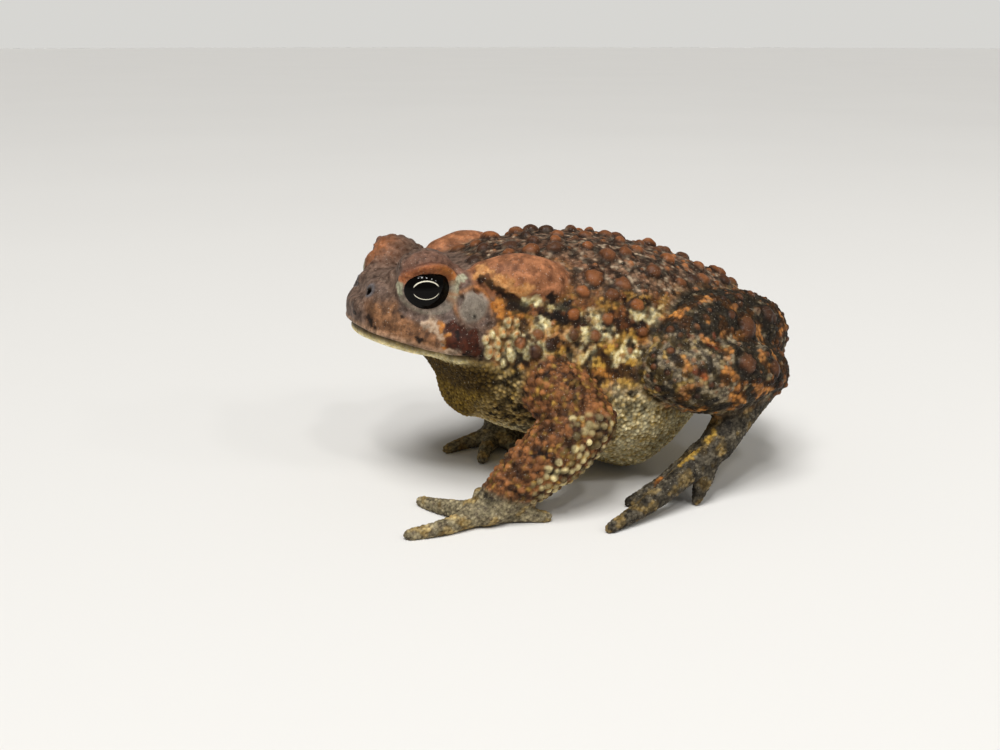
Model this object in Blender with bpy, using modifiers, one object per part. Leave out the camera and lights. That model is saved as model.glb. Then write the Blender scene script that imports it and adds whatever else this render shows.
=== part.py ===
"""A life-size American toad at rest on a flat floor, as a museum model.

The head points along -X and the toad's left side along -Y. The floor is z = 0, and the origin is
the middle of the model's footprint. Sizes are written in millimetres and turned to metres by MM.
"""

import math
import random

import bmesh
import bpy
from mathutils import Matrix, Vector
from mathutils.bvhtree import BVHTree

# Driving sizes of the animal, in millimetres.
MM = 0.001
GAP = 0.3
EYE_CENTRE = (-30.3, 9.3, 37.4)
EYE_RADIUS = 4.3
LID_THICKNESS = 0.75
EYE_OPENING = (4.15, 3.05)
TYMPANUM_CENTRE = (-23.5, 15.5, 34.6)
TYMPANUM_RADII = (2.4, 1.0, 2.7)
EAR_TURN = (0, -14, 12)
NOSTRIL_AIM = ((-37.0, -1.0, 35.6), (-0.42, -0.85, 0.30))
NOSTRIL_RADIUS = 0.7
NECK_X = -19.6
HIP = (31.6, 12.4, 24.8)
KNEE = (11.0, 21.2, 26.0)
SHANK_TOP = (8.6, 24.2, 23.2)
HEEL = (28.8, 22.0, 20.2)
FOOT_ROOT = (16.6, 27.4, 9.4)

# Each station of the trunk from snout to vent: x, top, bottom, half width, height of the widest
# point, and the squareness of the upper half.
TRUNK = (
    (-41.0, 35.0, 30.6, 3.2, 32.4, 2.0),
    (-39.6, 36.6, 28.7, 6.6, 31.4, 1.9),
    (-36.8, 38.0, 27.2, 10.4, 30.2, 1.85),
    (-32.6, 39.2, 25.6, 13.6, 29.4, 1.95),
    (-27.8, 39.2, 24.6, 16.0, 28.8, 2.2),
    (-24.4, 39.4, 19.6, 17.0, 28.0, 2.5),
    (-20.5, 40.6, 13.6, 17.4, 26.4, 2.6),
    (-15.0, 42.4, 9.8, 18.4, 24.6, 2.6),
    (-8.0, 43.0, 7.2, 20.4, 22.6, 2.6),
    (-1.0, 43.2, 3.8, 22.2, 21.0, 2.5),
    (5.0, 42.6, 0.6, 23.0, 19.6, 2.5),
    (9.5, 41.8, -0.6, 23.0, 19.4, 2.5),
    (14.0, 40.8, 2.6, 22.2, 19.8, 2.4),
    (19.0, 39.2, 8.2, 20.6, 21.4, 2.3),
    (24.5, 37.2, 12.6, 18.0, 23.0, 2.2),
    (30.0, 34.4, 15.6, 14.4, 24.0, 2.2),
    (35.4, 30.8, 18.4, 9.6, 24.4, 2.1),
    (39.0, 27.4, 20.8, 4.4, 24.0, 2.0),
)
TRUNK_SIDES = 36
BELLY_SQUARENESS = 2.15

# The lip line seen from the side, from the front to behind the corner: x, z.
MOUTH_LINE = (
    (-45.0, 30.6),
    (-40.6, 29.9),
    (-36.0, 28.7),
    (-31.0, 27.3),
    (-27.4, 26.5),
    (-25.0, 26.6),
    (-22.0, 25.6),
    (-16.0, 25.2),
)

# The near arm reaches forward, and the far one is drawn in beneath the chest. Each digit has a
# root, a middle and a tip, and then its radii at those points.
ARMS = {
    "left": {
        "shoulder": (-11.5, -16.0, 22.6),
        "elbow": (-7.0, -25.0, 15.6),
        "wrist": (-21.3, -24.3, 4.8),
        "palm": (-24.8, -23.6, 2.1),
        "fingers": (
            ((-27.0, -24.6, 1.8), (-33.0, -26.2, 1.25), (-38.8, -26.0, 0.8)),
            ((-27.0, -22.4, 1.8), (-30.6, -17.2, 1.25), (-32.6, -12.9, 0.8)),
            ((-24.4, -21.6, 1.8), (-23.0, -16.4, 1.25), (-21.6, -12.4, 0.8)),
            ((-22.6, -24.2, 1.7), (-18.6, -25.8, 1.25), (-14.9, -27.2, 0.8)),
        ),
    },
    "right": {
        "shoulder": (-11.5, 16.0, 22.6),
        "elbow": (-2.8, 25.8, 15.2),
        "wrist": (-6.6, 15.4, 4.8),
        "palm": (-8.4, 12.6, 2.1),
        "fingers": (
            ((-10.4, 12.8, 1.8), (-15.4, 12.2, 1.25), (-20.0, 10.8, 0.8)),
            ((-10.0, 11.0, 1.8), (-13.4, 6.8, 1.25), (-15.6, 2.8, 0.8)),
            ((-8.2, 10.4, 1.8), (-7.8, 5.6, 1.25), (-7.0, 1.6, 0.8)),
            ((-6.4, 12.4, 1.7), (-2.8, 11.0, 1.25), (0.0, 9.6, 0.8)),
        ),
    },
}
FINGER_RADII = (1.7, 1.25, 0.95)
TOES = (
    ((15.2, 28.2, 7.8), (13.2, 29.4, 4.0), (11.8, 29.8, 0.9), (1.75, 1.45, 0.95)),
    ((14.0, 28.2, 7.8), (2.4, 32.0, 3.1), (-7.4, 35.2, 0.8), (2.2, 1.55, 0.9)),
    ((14.0, 26.4, 7.6), (6.4, 26.2, 2.9), (0.6, 26.2, 0.8), (1.8, 1.35, 0.9)),
    ((14.4, 25.2, 7.6), (9.8, 23.4, 2.8), (5.8, 22.2, 0.8), (1.6, 1.2, 0.85)),
    ((15.4, 24.6, 7.6), (13.2, 21.8, 2.8), (11.0, 20.2, 0.8), (1.45, 1.1, 0.85)),
)

# The pieces of the face that the trunk's warts need not keep clear of.
FACE = ("eye", "tympanum")

# Wart fields: the largest warts only, each a low dome.
WART_SIDES = 6
WART_SINK = 0.55
BACK_WARTS = 190
WARTY_SHARE = 0.6
LIMB_WARTS = {"thigh": 7, "shank": 7, "forearm": 7, "upper_arm": 3}

# Triangles left on each form after it is thinned.
TRIANGLES = {
    "head": 3400,
    "torso": 1200,
    "around_trunk": 800,
    "around_head": 900,
    "arm": 1000,
    "thigh": 260,
    "shank": 260,
    "foot": 780,
    "parotoid": 200,
}

SKIN_COLOURS = {
    "head": (0.22, 0.14, 0.10, 1),
    "lower_jaw": (0.46, 0.36, 0.18, 1),
    "torso": (0.27, 0.13, 0.06, 1),
    "parotoid": (0.33, 0.13, 0.06, 1),
    "eye": (0.01, 0.01, 0.01, 1),
    "tympanum": (0.20, 0.18, 0.16, 1),
    "arm": (0.30, 0.17, 0.08, 1),
    "leg": (0.13, 0.11, 0.08, 1),
}

for leftover in list(bpy.data.objects):
    bpy.data.objects.remove(leftover)
toad = bpy.data.collections.new("american_toad")
bpy.context.scene.collection.children.link(toad)
cutters = bpy.data.collections.new("cutters")
bpy.context.scene.collection.children.link(cutters)


# Small tools for meshes.
def metres(point):
    return Vector(point) * MM


def left(point):
    """A point written for either side, placed on the toad's left."""
    return Vector((point[0], -abs(point[1]), point[2]))


def add_object(name, mesh, collection=cutters):
    obj = bpy.data.objects.new(name, mesh)
    collection.objects.link(obj)
    return obj


def object_from_bmesh(name, bm):
    bmesh.ops.recalc_face_normals(bm, faces=bm.faces)
    mesh = bpy.data.meshes.new(name)
    bm.to_mesh(mesh)
    bm.free()
    return add_object(name, mesh)


def apply_modifiers(obj):
    """Turns what the modifiers show into the object's own mesh."""
    bpy.context.view_layer.update()
    graph = bpy.context.evaluated_depsgraph_get()
    mesh = bpy.data.meshes.new_from_object(obj.evaluated_get(graph))
    obj.modifiers.clear()
    obj.data = mesh
    return obj


def remove(objects):
    for obj in list(objects):
        bpy.data.objects.remove(obj)


def clear_away(obj, neighbours):
    """Cuts an object back to the gap around each neighbour."""
    for neighbour in neighbours:
        boolean(obj, neighbour)
    return keep_largest(obj)


def keep_largest(obj):
    """Drops every loose scrap, so that the object is one closed body."""
    bm = bmesh.new()
    bm.from_mesh(obj.data)
    unseen = set(bm.verts)
    islands = []
    while unseen:
        island = {unseen.pop()}
        edge_of_island = list(island)
        while edge_of_island:
            vertex = edge_of_island.pop()
            for edge in vertex.link_edges:
                other = edge.other_vert(vertex)
                if other in unseen:
                    unseen.remove(other)
                    island.add(other)
                    edge_of_island.append(other)
        islands.append(island)
    islands.sort(key=len, reverse=True)
    for island in islands[1:]:
        bmesh.ops.delete(bm, geom=list(island), context="VERTS")
    bm.to_mesh(obj.data)
    bm.free()
    return obj


def boolean(obj, other, operation="DIFFERENCE"):
    modifier = obj.modifiers.new(operation.title(), "BOOLEAN")
    modifier.operation = operation
    modifier.solver = "EXACT"
    modifier.object = other
    return apply_modifiers(obj)


def copy_of(obj, name):
    return add_object(name, obj.data.copy())


def grown(obj, name, distance=GAP + 0.1):
    """A copy that stands proud of the original by the gap that touching pieces keep."""
    copy = copy_of(obj, name)
    displace = copy.modifiers.new("Grow", "DISPLACE")
    displace.mid_level = 0
    displace.strength = distance * MM
    return apply_modifiers(copy)


def cut_by_plane(obj, point, normal):
    """Keeps what lies on the far side from the normal, and closes the cut with a flat face."""
    bm = bmesh.new()
    bm.from_mesh(obj.data)
    geometry = list(bm.verts) + list(bm.edges) + list(bm.faces)
    cut = bmesh.ops.bisect_plane(
        bm, geom=geometry, plane_co=point, plane_no=normal, clear_outer=True
    )
    edges = [g for g in cut["geom_cut"] if isinstance(g, bmesh.types.BMEdge)]
    if edges:
        filled = bmesh.ops.holes_fill(bm, edges=edges, sides=0)
        bmesh.ops.triangulate(bm, faces=filled["faces"])
    bm.to_mesh(obj.data)
    bm.free()
    return keep_largest(obj)


def mirrored(obj, name):
    mesh = obj.data.copy()
    mesh.transform(Matrix.Scale(-1, 4, (0, 1, 0)))
    mesh.flip_normals()
    return add_object(name, mesh)


# Clay: overlapping closed shapes are pressed into one soft body.
def ellipsoid(name, centre, radii, turn=(0, 0, 0), segments=24, rings=16):
    bm = bmesh.new()
    bmesh.ops.create_uvsphere(bm, u_segments=segments, v_segments=rings, radius=1)
    turned = Matrix.LocRotScale(metres(centre), None, None)
    for axis, degrees in zip("XYZ", turn):
        turned = turned @ Matrix.Rotation(math.radians(degrees), 4, axis)
    bm.transform(turned @ Matrix.Diagonal((*metres(radii), 1)))
    return object_from_bmesh(name, bm)


def loft(name, rings):
    """A closed tube through rings of points, with a point at the middle of each end."""
    bm = bmesh.new()
    loops = [[bm.verts.new(p) for p in ring] for ring in rings]
    for ring, following in zip(loops, loops[1:]):
        for i, vertex in enumerate(ring):
            j = (i + 1) % len(ring)
            bm.faces.new((vertex, ring[j], following[j], following[i]))
    for ring in (loops[0], loops[-1]):
        middle = sum((v.co for v in ring), Vector()) / len(ring)
        pole = bm.verts.new(middle)
        for i, vertex in enumerate(ring):
            bm.faces.new((vertex, ring[(i + 1) % len(ring)], pole))
    return object_from_bmesh(name, bm)


def smooth_row(rows, steps):
    """Rows of numbers joined by a smooth curve through all of them, as a Catmull-Rom spline."""
    made = []
    for i in range(len(rows) - 1):
        before = rows[max(i - 1, 0)]
        after = rows[min(i + 2, len(rows) - 1)]
        for step in range(steps):
            t = step / steps
            made.append(
                tuple(
                    0.5 * (2 * b + (c - a) * t + (2 * a - 5 * b + 4 * c - d) * t**2
                           + (3 * b - a - 3 * c + d) * t**3)
                    for a, b, c, d in zip(before, rows[i], rows[i + 1], after)
                )
            )
    made.append(rows[-1])
    return made


def tube(name, points, radii, flatness=1.0, sides=16, steps=5):
    """A limb or digit: a round tube along a smooth path, with rounded ends."""
    rows = [(*p, r) for p, r in zip(points, radii)]
    path = smooth_row(rows, steps)
    centres = [metres(row[:3]) for row in path]
    sizes = [row[3] * MM for row in path]
    rings = []
    for i, centre in enumerate(centres):
        along = centres[min(i + 1, len(centres) - 1)] - centres[max(i - 1, 0)]
        along.normalize()
        side = along.cross(Vector((0, 0, 1)))
        side.normalize()
        up = side.cross(along)
        ends = {0: -1, len(centres) - 1: 1}
        slices = [(0.0, 1.0)]
        if i in ends:
            slices = [(math.sin(a), math.cos(a)) for a in (0.0, 0.5, 1.0, 1.4)]
        ordered = slices if ends.get(i) == 1 else slices[::-1]
        for reach, share in ordered:
            middle = centre + along * reach * sizes[i] * ends.get(i, 0)
            ring = []
            for k in range(sides):
                a = 2 * math.pi * k / sides
                out = side * math.cos(a) + up * math.sin(a) * flatness
                ring.append(middle + out * sizes[i] * share)
            rings.append(ring)
    return loft(name, rings)


def clay(name, pieces, voxel, smoothing, triangles=None):
    """Joins overlapping closed pieces, softens their creases and thins the result."""
    bm = bmesh.new()
    for piece in pieces:
        bm.from_mesh(piece.data)
    body = object_from_bmesh(name, bm)
    remove(pieces)
    remesh = body.modifiers.new("Press", "REMESH")
    remesh.mode = "VOXEL"
    remesh.voxel_size = voxel * MM
    soften = body.modifiers.new("Soften", "SMOOTH")
    soften.factor = 0.5
    soften.iterations = smoothing
    apply_modifiers(body)
    return thinned(body, triangles) if triangles else body


def thinned(obj, triangles):
    now = sum(len(p.vertices) - 2 for p in obj.data.polygons)
    decimate = obj.modifiers.new("Thin", "DECIMATE")
    decimate.ratio = min(1.0, triangles / now)
    decimate.use_collapse_triangulate = True
    return keep_largest(apply_modifiers(obj))


# The trunk: head, throat, back and belly in one form.
def trunk_ring(row):
    x, top, bottom, half_width, widest, squareness = row
    ring = []
    for k in range(TRUNK_SIDES):
        a = 2 * math.pi * k / TRUNK_SIDES
        upper = math.sin(a) >= 0
        power = 2 / (squareness if upper else BELLY_SQUARENESS)
        reach = top - widest if upper else widest - bottom
        y = math.copysign(abs(math.cos(a)) ** power, math.cos(a)) * half_width
        z = widest + math.copysign(abs(math.sin(a)) ** power, math.sin(a)) * reach
        ring.append(metres((x, y, z)))
    return ring


def both_sides(maker, name, *args, **more):
    """The same lump on the left and on the right."""
    first = maker(name, *args, **more)
    return [first, mirrored(first, name + "_mirrored")]


def crest(name, points, radius):
    return both_sides(tube, name, points, [radius] * len(points), sides=10)


def build_trunk():
    pieces = [loft("trunk", [trunk_ring(row) for row in smooth_row(list(TRUNK), 3)])]
    eye = left(EYE_CENTRE)
    lid = EYE_RADIUS + LID_THICKNESS
    pieces += both_sides(ellipsoid, "lids", eye + Vector((0.2, 0, 0)), (lid - 0.1, lid, lid + 0.1))
    brow = eye + Vector((0.4, 0.0, 3.3))
    pieces += both_sides(ellipsoid, "brow", brow, (4.7, 4.4, 2.5), (-8, 3, 0))
    pieces += crest(
        "crest_above_eye",
        ((-36.6, -4.2, 37.5), (-33.6, -5.4, 39.8), (-29.5, -6.2, 40.6), (-25.2, -8.0, 39.9)),
        0.95,
    )
    pieces += crest(
        "crest_behind_eye",
        ((-25.0, -8.3, 39.9), (-24.2, -12.0, 39.5), (-24.6, -14.4, 37.4)),
        1.0,
    )
    pieces += both_sides(ellipsoid, "snout_side", (-37.4, -3.2, 35.4), (3.0, 2.9, 2.7))
    pieces += both_sides(ellipsoid, "upper_lip", (-29.6, -12.3, 29.4), (9.0, 3.2, 2.2), (0, 6, -33))
    pieces += both_sides(ellipsoid, "jaw_angle", (-23.4, -14.4, 28.8), (4.2, 3.0, 3.8))
    pieces += both_sides(ellipsoid, "shoulder", (-11.5, -15.2, 24.0), (8.4, 5.2, 8.2))
    pieces += both_sides(ellipsoid, "flank", (4.0, -13.6, 18.0), (13.0, 10.6, 12.6))
    pieces.append(ellipsoid("throat", (-19.0, 0, 17.6), (5.2, 9.0, 6.2)))
    return clay("trunk", pieces, 0.75, 5)


def ribbon_cutter(name, line, half_width, thickness):
    """A thin wavy wall across the head: the line seen from the side, drawn out along Y."""
    rows = smooth_row(list(line), 4)
    upper, lower = [], []
    for i, (x, z) in enumerate(rows):
        before, after = rows[max(i - 1, 0)], rows[min(i + 1, len(rows) - 1)]
        along = Vector((after[0] - before[0], 0, after[1] - before[1])).normalized()
        across = Vector((-along.z, 0, along.x)) * thickness / 2
        upper.append(Vector((x, 0, z)) + across)
        lower.append(Vector((x, 0, z)) - across)
    bm = bmesh.new()
    outline = [bm.verts.new(p * MM) for p in upper + lower[::-1]]
    face = bm.faces.new(outline)
    drawn = bmesh.ops.extrude_face_region(bm, geom=[face])
    moved = [g for g in drawn["geom"] if isinstance(g, bmesh.types.BMVert)]
    bmesh.ops.translate(bm, verts=moved, vec=(0, 2 * half_width * MM, 0))
    bmesh.ops.translate(bm, verts=bm.verts, vec=(0, -half_width * MM, 0))
    return object_from_bmesh(name, bm)


def carve_face(trunk):
    """Sockets, lid openings, ear drums' hollows and nostrils."""
    eye = left(EYE_CENTRE)
    width, height = EYE_OPENING
    cuts = []
    socket = EYE_RADIUS + GAP
    cuts += both_sides(ellipsoid, "socket", eye, (socket,) * 3, (0, 0, 0), 16, 10)
    opening = eye + Vector((0, -6.0, -0.05))
    cuts += both_sides(ellipsoid, "lid_opening", opening, (width, 7.0, height), (4, 4, 0), 16, 10)
    ear = left(TYMPANUM_CENTRE)
    hollow = [r + GAP for r in TYMPANUM_RADII]
    cuts += both_sides(ellipsoid, "ear_hollow", ear, hollow, EAR_TURN, 12, 8)
    inside, outward = NOSTRIL_AIM
    nostril, _ = outer_hit(tree_of(trunk), metres(inside), Vector(outward).normalized())
    cuts += both_sides(ellipsoid, "nostril", nostril / MM, (NOSTRIL_RADIUS,) * 3, (0, 0, 0), 8, 6)
    for cutter in cuts:
        boolean(trunk, cutter)
    remove(cuts)
    return keep_largest(trunk)


def split_head(skull):
    """Head and lower jaw, parted by the lip line; both end at the neck."""
    front = cut_by_plane(skull, metres((NECK_X - GAP / 2, 0, 0)), (1, 0, 0))
    mouth = ribbon_cutter("mouth", MOUTH_LINE, 24, GAP)
    boolean(front, mouth)
    remove([mouth])
    head = keep_largest(copy_of(front, "head"))
    around_head = grown(head, "around_head", GAP / 3)
    lower_jaw = boolean(front, around_head)
    remove([around_head])
    return head, keep_largest(lower_jaw)


# The limbs. The legs are built on the left and mirrored, the arms each in their own pose.
def build_arm(side):
    pose = ARMS[side]
    shoulder, elbow, wrist, palm = (
        Vector(pose[joint]) for joint in ("shoulder", "elbow", "wrist", "palm")
    )
    outward = math.copysign(1, shoulder.y)
    inside = shoulder + Vector((1.5, -3.0 * outward, 2.0))
    upper = tube(
        "upper_arm",
        (inside, shoulder, shoulder.lerp(elbow, 0.6), elbow),
        (6.0, 5.8, 5.5, 4.9),
    )
    fore = tube(
        "forearm",
        (elbow, elbow.lerp(wrist, 0.3), elbow.lerp(wrist, 0.7), wrist, palm),
        (4.8, 5.4, 4.8, 3.8, 2.6),
    )
    pad = ellipsoid("palm", palm + Vector((0.4, 0, -0.1)), (4.4, 3.8, 2.2))
    fingers = [tube("finger", row, FINGER_RADII, sides=12) for row in pose["fingers"]]
    return clay("arm", [upper, fore, pad] + fingers, 0.45, 4, TRIANGLES["arm"])


def part_arm(arm, side):
    """Upper arm, forearm and hand, parted by flat cuts at the elbow and the wrist."""
    elbow, wrist = metres(ARMS[side]["elbow"]), metres(ARMS[side]["wrist"])
    shoulder = metres(ARMS[side]["shoulder"])
    half_gap = GAP / 2 * MM
    down = (wrist - elbow).normalized()
    across = (down + (elbow - shoulder).normalized()).normalized()
    upper = cut_by_plane(copy_of(arm, "upper_arm"), elbow - across * half_gap, across)
    below = cut_by_plane(arm, elbow + across * half_gap, -across)
    steep = (down + Vector((0, 0, -2))).normalized()
    hand = cut_by_plane(copy_of(below, "hand"), wrist + steep * half_gap, -steep)
    forearm = cut_by_plane(below, wrist - steep * half_gap, steep)
    return upper, forearm, hand


def build_thigh():
    hip, knee = left(HIP), left(KNEE)
    points = (hip, (22.0, -15.4, 26.4), (15.0, -18.8, 26.8), knee)
    body = tube("thigh", points, (7.4, 8.0, 7.6, 6.0))
    return clay("thigh", [body], 0.7, 3, TRIANGLES["thigh"])


def build_shank():
    heel = left(HEEL)
    points = (left(SHANK_TOP), (14.2, -24.6, 21.6), (21.4, -23.8, 21.0), heel)
    body = tube("shank", points, (5.5, 6.5, 6.5, 4.8))
    return clay("shank", [body], 0.7, 3, TRIANGLES["shank"])


def build_foot():
    heel, root = left(HEEL), left(FOOT_ROOT)
    ankle = heel.lerp(root, 0.45) + Vector((0, 0, -0.4))
    tarsus = tube("tarsus", (heel + Vector((-0.6, -0.4, -2.0)), ankle, root), (3.6, 3.4, 3.0), 0.9)
    sole = ellipsoid("sole", root + Vector((-1.8, 0.6, -1.4)), (4.4, 3.4, 2.0), (0, -28, 8))
    web = ellipsoid("web", root + Vector((-5.4, 0.2, -3.8)), (5.6, 4.2, 0.7), (0, -27, 6))
    toes = [tube("toe", [left(p) for p in row[:3]], row[3], sides=12) for row in TOES]
    pieces = [tarsus, sole, web] + toes
    return clay("foot", pieces, 0.42, 3, TRIANGLES["foot"])


def build_parotoid():
    """The long poison gland behind the eye, a bean with its rear end lower."""
    front, middle, rear = (-20.2, -11.8, 38.7), (-15.2, -13.0, 38.6), (-10.2, -13.8, 37.7)
    bean = tube("parotoid", (front, middle, rear), (3.2, 4.5, 4.2), 0.95, 18)
    return clay("parotoid", [bean], 0.5, 3, TRIANGLES["parotoid"])


# Warts, set on the skin along rays towards a line inside the body.
def dome(name, point, normal, radius):
    """One wart: a low dome whose root is sunk in the skin."""
    height = radius * 0.8
    profile = ((-WART_SINK, 1.0), (0.3, 0.97), (0.85, 0.52))
    bm = bmesh.new()
    loops = []
    for level, share in profile:
        ring = []
        for k in range(WART_SIDES):
            a = 2 * math.pi * k / WART_SIDES
            at = Vector((math.cos(a) * share * radius, math.sin(a) * share * radius, level * height))
            ring.append(bm.verts.new(at * MM))
        loops.append(ring)
    for ring, following in zip(loops, loops[1:]):
        for i in range(WART_SIDES):
            j = (i + 1) % WART_SIDES
            bm.faces.new((ring[i], ring[j], following[j], following[i]))
    bm.faces.new(loops[0][::-1])
    bm.faces.new(loops[-1])
    turn = normal.to_track_quat("Z", "Y").to_matrix().to_4x4()
    bm.transform(Matrix.Translation(point) @ turn)
    return object_from_bmesh(name, bm)


def back_wart_plan():
    """Where the trunk's large warts sit: x, angle from straight up, and radius."""
    draw = random.Random(11)
    plan = []
    for _ in range(9000):
        x = draw.uniform(-17.5, 37.0)
        angle = draw.uniform(-112, 112)
        size = draw.random()
        low = abs(angle) > 58
        radius = 0.7 + 0.35 * size if low else 0.8 + 0.75 * size
        girth = 22.0 - 0.35 * max(0.0, x - 12.0)
        spot = Vector((x, math.radians(angle) * girth))
        room = 1.6 if low else 1.2
        if all((spot - other).length > room * (radius + wide) for other, wide, _ in plan):
            plan.append((spot, radius, angle))
        if len(plan) == BACK_WARTS:
            break
    return [(spot.x, angle, radius) for spot, radius, angle in plan]


def outer_hit(tree, inside, direction):
    """Where a ray from far outside meets the skin on its way to a point inside."""
    far = inside + direction * 0.08
    point, normal, _, _ = tree.ray_cast(far, -direction)
    return point, normal


def clear_of(point, reach, trees):
    return all(t.find_nearest(point, reach * MM)[0] is None for t in trees)


def tree_of(obj):
    bm = bmesh.new()
    bm.from_mesh(obj.data)
    tree = BVHTree.FromBMesh(bm)
    bm.free()
    return tree


def fuse(obj, pieces):
    """Joins the pieces to the node in one union and keeps one closed body."""
    roots = bpy.data.collections.new("roots")
    bpy.context.scene.collection.children.link(roots)
    for piece in pieces:
        cutters.objects.unlink(piece)
        roots.objects.link(piece)
    union = obj.modifiers.new("Fuse", "BOOLEAN")
    union.operation = "UNION"
    union.solver = "EXACT"
    union.operand_type = "COLLECTION"
    union.collection = roots
    apply_modifiers(obj)
    remove(roots.objects)
    bpy.data.collections.remove(roots)
    return keep_largest(obj)


def add_back_warts(torso, neighbours):
    tree = tree_of(torso)
    trees = [tree_of(n) for n in neighbours]
    domes = []
    for x, angle, radius in back_wart_plan():
        a = math.radians(angle)
        inside = metres((x, 0, 21.0))
        point, normal = outer_hit(tree, inside, Vector((0, math.sin(a), math.cos(a))))
        if point and clear_of(point, radius + 0.8, trees) and point.x > (NECK_X + radius + 1) * MM:
            domes.append(dome("wart", point, normal, radius))
    return fuse(torso, domes)


def add_limb_warts(limb, start, end, count, seed, radii, neighbours):
    """Warts on the outward and upper sides of the first part of a limb from start to end."""
    draw = random.Random(seed)
    tree = tree_of(limb)
    trees = [tree_of(n) for n in neighbours]
    side = math.copysign(1, start[1])
    domes, placed = [], []
    for _ in range(900):
        along = draw.uniform(0.0, WARTY_SHARE)
        angle = draw.uniform(-75, 80)
        radius = draw.uniform(*radii)
        a = math.radians(angle)
        inside = metres(start).lerp(metres(end), along)
        point, normal = outer_hit(tree, inside, Vector((0, side * math.cos(a), math.sin(a))))
        if point is None or point.z < 6.5 * MM or not clear_of(point, radius + 0.9, trees):
            continue
        if all((point - p).length > 1.25 * (radius + r) * MM for p, r in placed):
            placed.append((point, radius))
            domes.append(dome("wart", point, normal, radius))
        if len(domes) == count:
            break
    return fuse(limb, domes)


# Finish: floor flats, names, materials and the origin.
def paint(obj, slot, roughness=0.55):
    material = bpy.data.materials.get(slot) or bpy.data.materials.new(slot)
    material.use_nodes = True
    shader = material.node_tree.nodes["Principled BSDF"]
    shader.inputs["Base Color"].default_value = SKIN_COLOURS[slot]
    shader.inputs["Roughness"].default_value = roughness
    shader.inputs["Metallic"].default_value = 0.0
    obj.data.materials.clear()
    obj.data.materials.append(material)


def settle(nodes):
    """Moves every node so that the origin is the middle of the footprint, at floor level."""
    corners = [v.co for obj in nodes for v in obj.data.vertices]
    middle_x = (min(c.x for c in corners) + max(c.x for c in corners)) / 2
    middle_y = (min(c.y for c in corners) + max(c.y for c in corners)) / 2
    for obj in nodes:
        obj.data.transform(Matrix.Translation((-middle_x, -middle_y, 0)))


def finish(obj, name, slot, roughness=0.55):
    obj.name = name
    obj.data.name = name
    cutters.objects.unlink(obj)
    toad.objects.link(obj)
    obj.data.shade_smooth()
    obj.data.set_sharp_from_angle(angle=math.radians(50))
    paint(obj, slot, roughness)
    return obj


def main():
    trunk = build_trunk()
    skull = carve_face(thinned(copy_of(trunk, "skull"), TRIANGLES["head"]))
    torso = thinned(copy_of(trunk, "torso"), TRIANGLES["torso"])
    around_trunk = [grown(thinned(copy_of(trunk, "plain"), TRIANGLES["around_trunk"]), "around")]
    head, lower_jaw = split_head(skull)
    torso = cut_by_plane(torso, metres((NECK_X + GAP / 2, 0, 0)), (-1, 0, 0))
    torso = cut_by_plane(torso, Vector(), (0, 0, -1))

    around_head = grown(thinned(copy_of(head, "plain_head"), TRIANGLES["around_head"]), "near")
    parotoid = clear_away(build_parotoid(), around_trunk + [around_head])
    thigh = clear_away(build_thigh(), around_trunk)
    around_thigh = grown(thigh, "around_thigh")
    shank = clear_away(build_shank(), around_trunk + [around_thigh])
    around_shank = grown(shank, "around_shank")
    foot = clear_away(build_foot(), around_trunk + [around_thigh, around_shank])
    foot = cut_by_plane(foot, Vector(), (0, 0, -1))
    eye = ellipsoid("eye", left(EYE_CENTRE), (EYE_RADIUS,) * 3, (90, 0, 0), 16, 9)
    tympanum = ellipsoid("tympanum", left(TYMPANUM_CENTRE), TYMPANUM_RADII, EAR_TURN, 10, 6)

    paired = {
        "parotoid": parotoid, "thigh": thigh, "shank": shank, "foot": foot,
        "eye": eye, "tympanum": tympanum,
    }
    sides = {"left": dict(paired), "right": {}}
    for name, obj in paired.items():
        sides["right"][name] = mirrored(obj, name)
    for side, nodes in sides.items():
        arm = clear_away(build_arm(side), around_trunk)
        arm = cut_by_plane(arm, Vector(), (0, 0, -1))
        nodes["upper_arm"], nodes["forearm"], nodes["hand"] = part_arm(arm, side)
    remove(around_trunk + [around_head, around_thigh, around_shank])

    limbs = [n for nodes in sides.values() for key, n in nodes.items() if key not in FACE]
    torso = add_back_warts(torso, limbs)
    for seed, (side, nodes) in enumerate(sides.items()):
        flip = Vector((1, 1 if side == "left" else -1, 1))
        arm = ARMS[side]
        fields = {
            "thigh": (left(HIP) * flip, left(KNEE) * flip, (1.0, 1.7)),
            "shank": (left(HEEL) * flip, left(SHANK_TOP) * flip, (1.1, 2.0)),
            "upper_arm": (Vector(arm["shoulder"]), Vector(arm["elbow"]), (0.8, 1.1)),
            "forearm": (Vector(arm["elbow"]), Vector(arm["wrist"]), (0.7, 0.95)),
        }
        for name, (start, end, radii) in fields.items():
            others = [n for key, n in nodes.items() if key != name] + [torso]
            nodes[name] = add_limb_warts(
                nodes[name], start, end, LIMB_WARTS[name], seed, radii, others
            )

    finished = [
        finish(head, "head", "head"),
        finish(lower_jaw, "lower_jaw", "lower_jaw"),
        finish(torso, "torso", "torso"),
    ]
    slots = {
        "eye": "eye", "tympanum": "tympanum", "parotoid": "parotoid",
        "upper_arm": "arm", "forearm": "arm", "hand": "arm",
        "thigh": "leg", "shank": "leg", "foot": "leg",
    }
    for side, nodes in sides.items():
        for name, obj in nodes.items():
            gloss = 0.05 if name == "eye" else 0.55
            finished.append(finish(obj, f"{name}_{side}", slots[name], gloss))
    settle(finished)
    remove(cutters.objects)
    bpy.data.collections.remove(cutters)


main()
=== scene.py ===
# %% [markdown]
# # An American toad, life size
# A toad at rest is a soft bag of skin over bone and muscle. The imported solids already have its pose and
# its proportions, so they serve as the armature that a model maker would build. The lesson lays one
# skin without a seam over them, gives it warts, granules, lids and lips as real relief, paints it, and
# sets in two wet eyes.

import math

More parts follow.
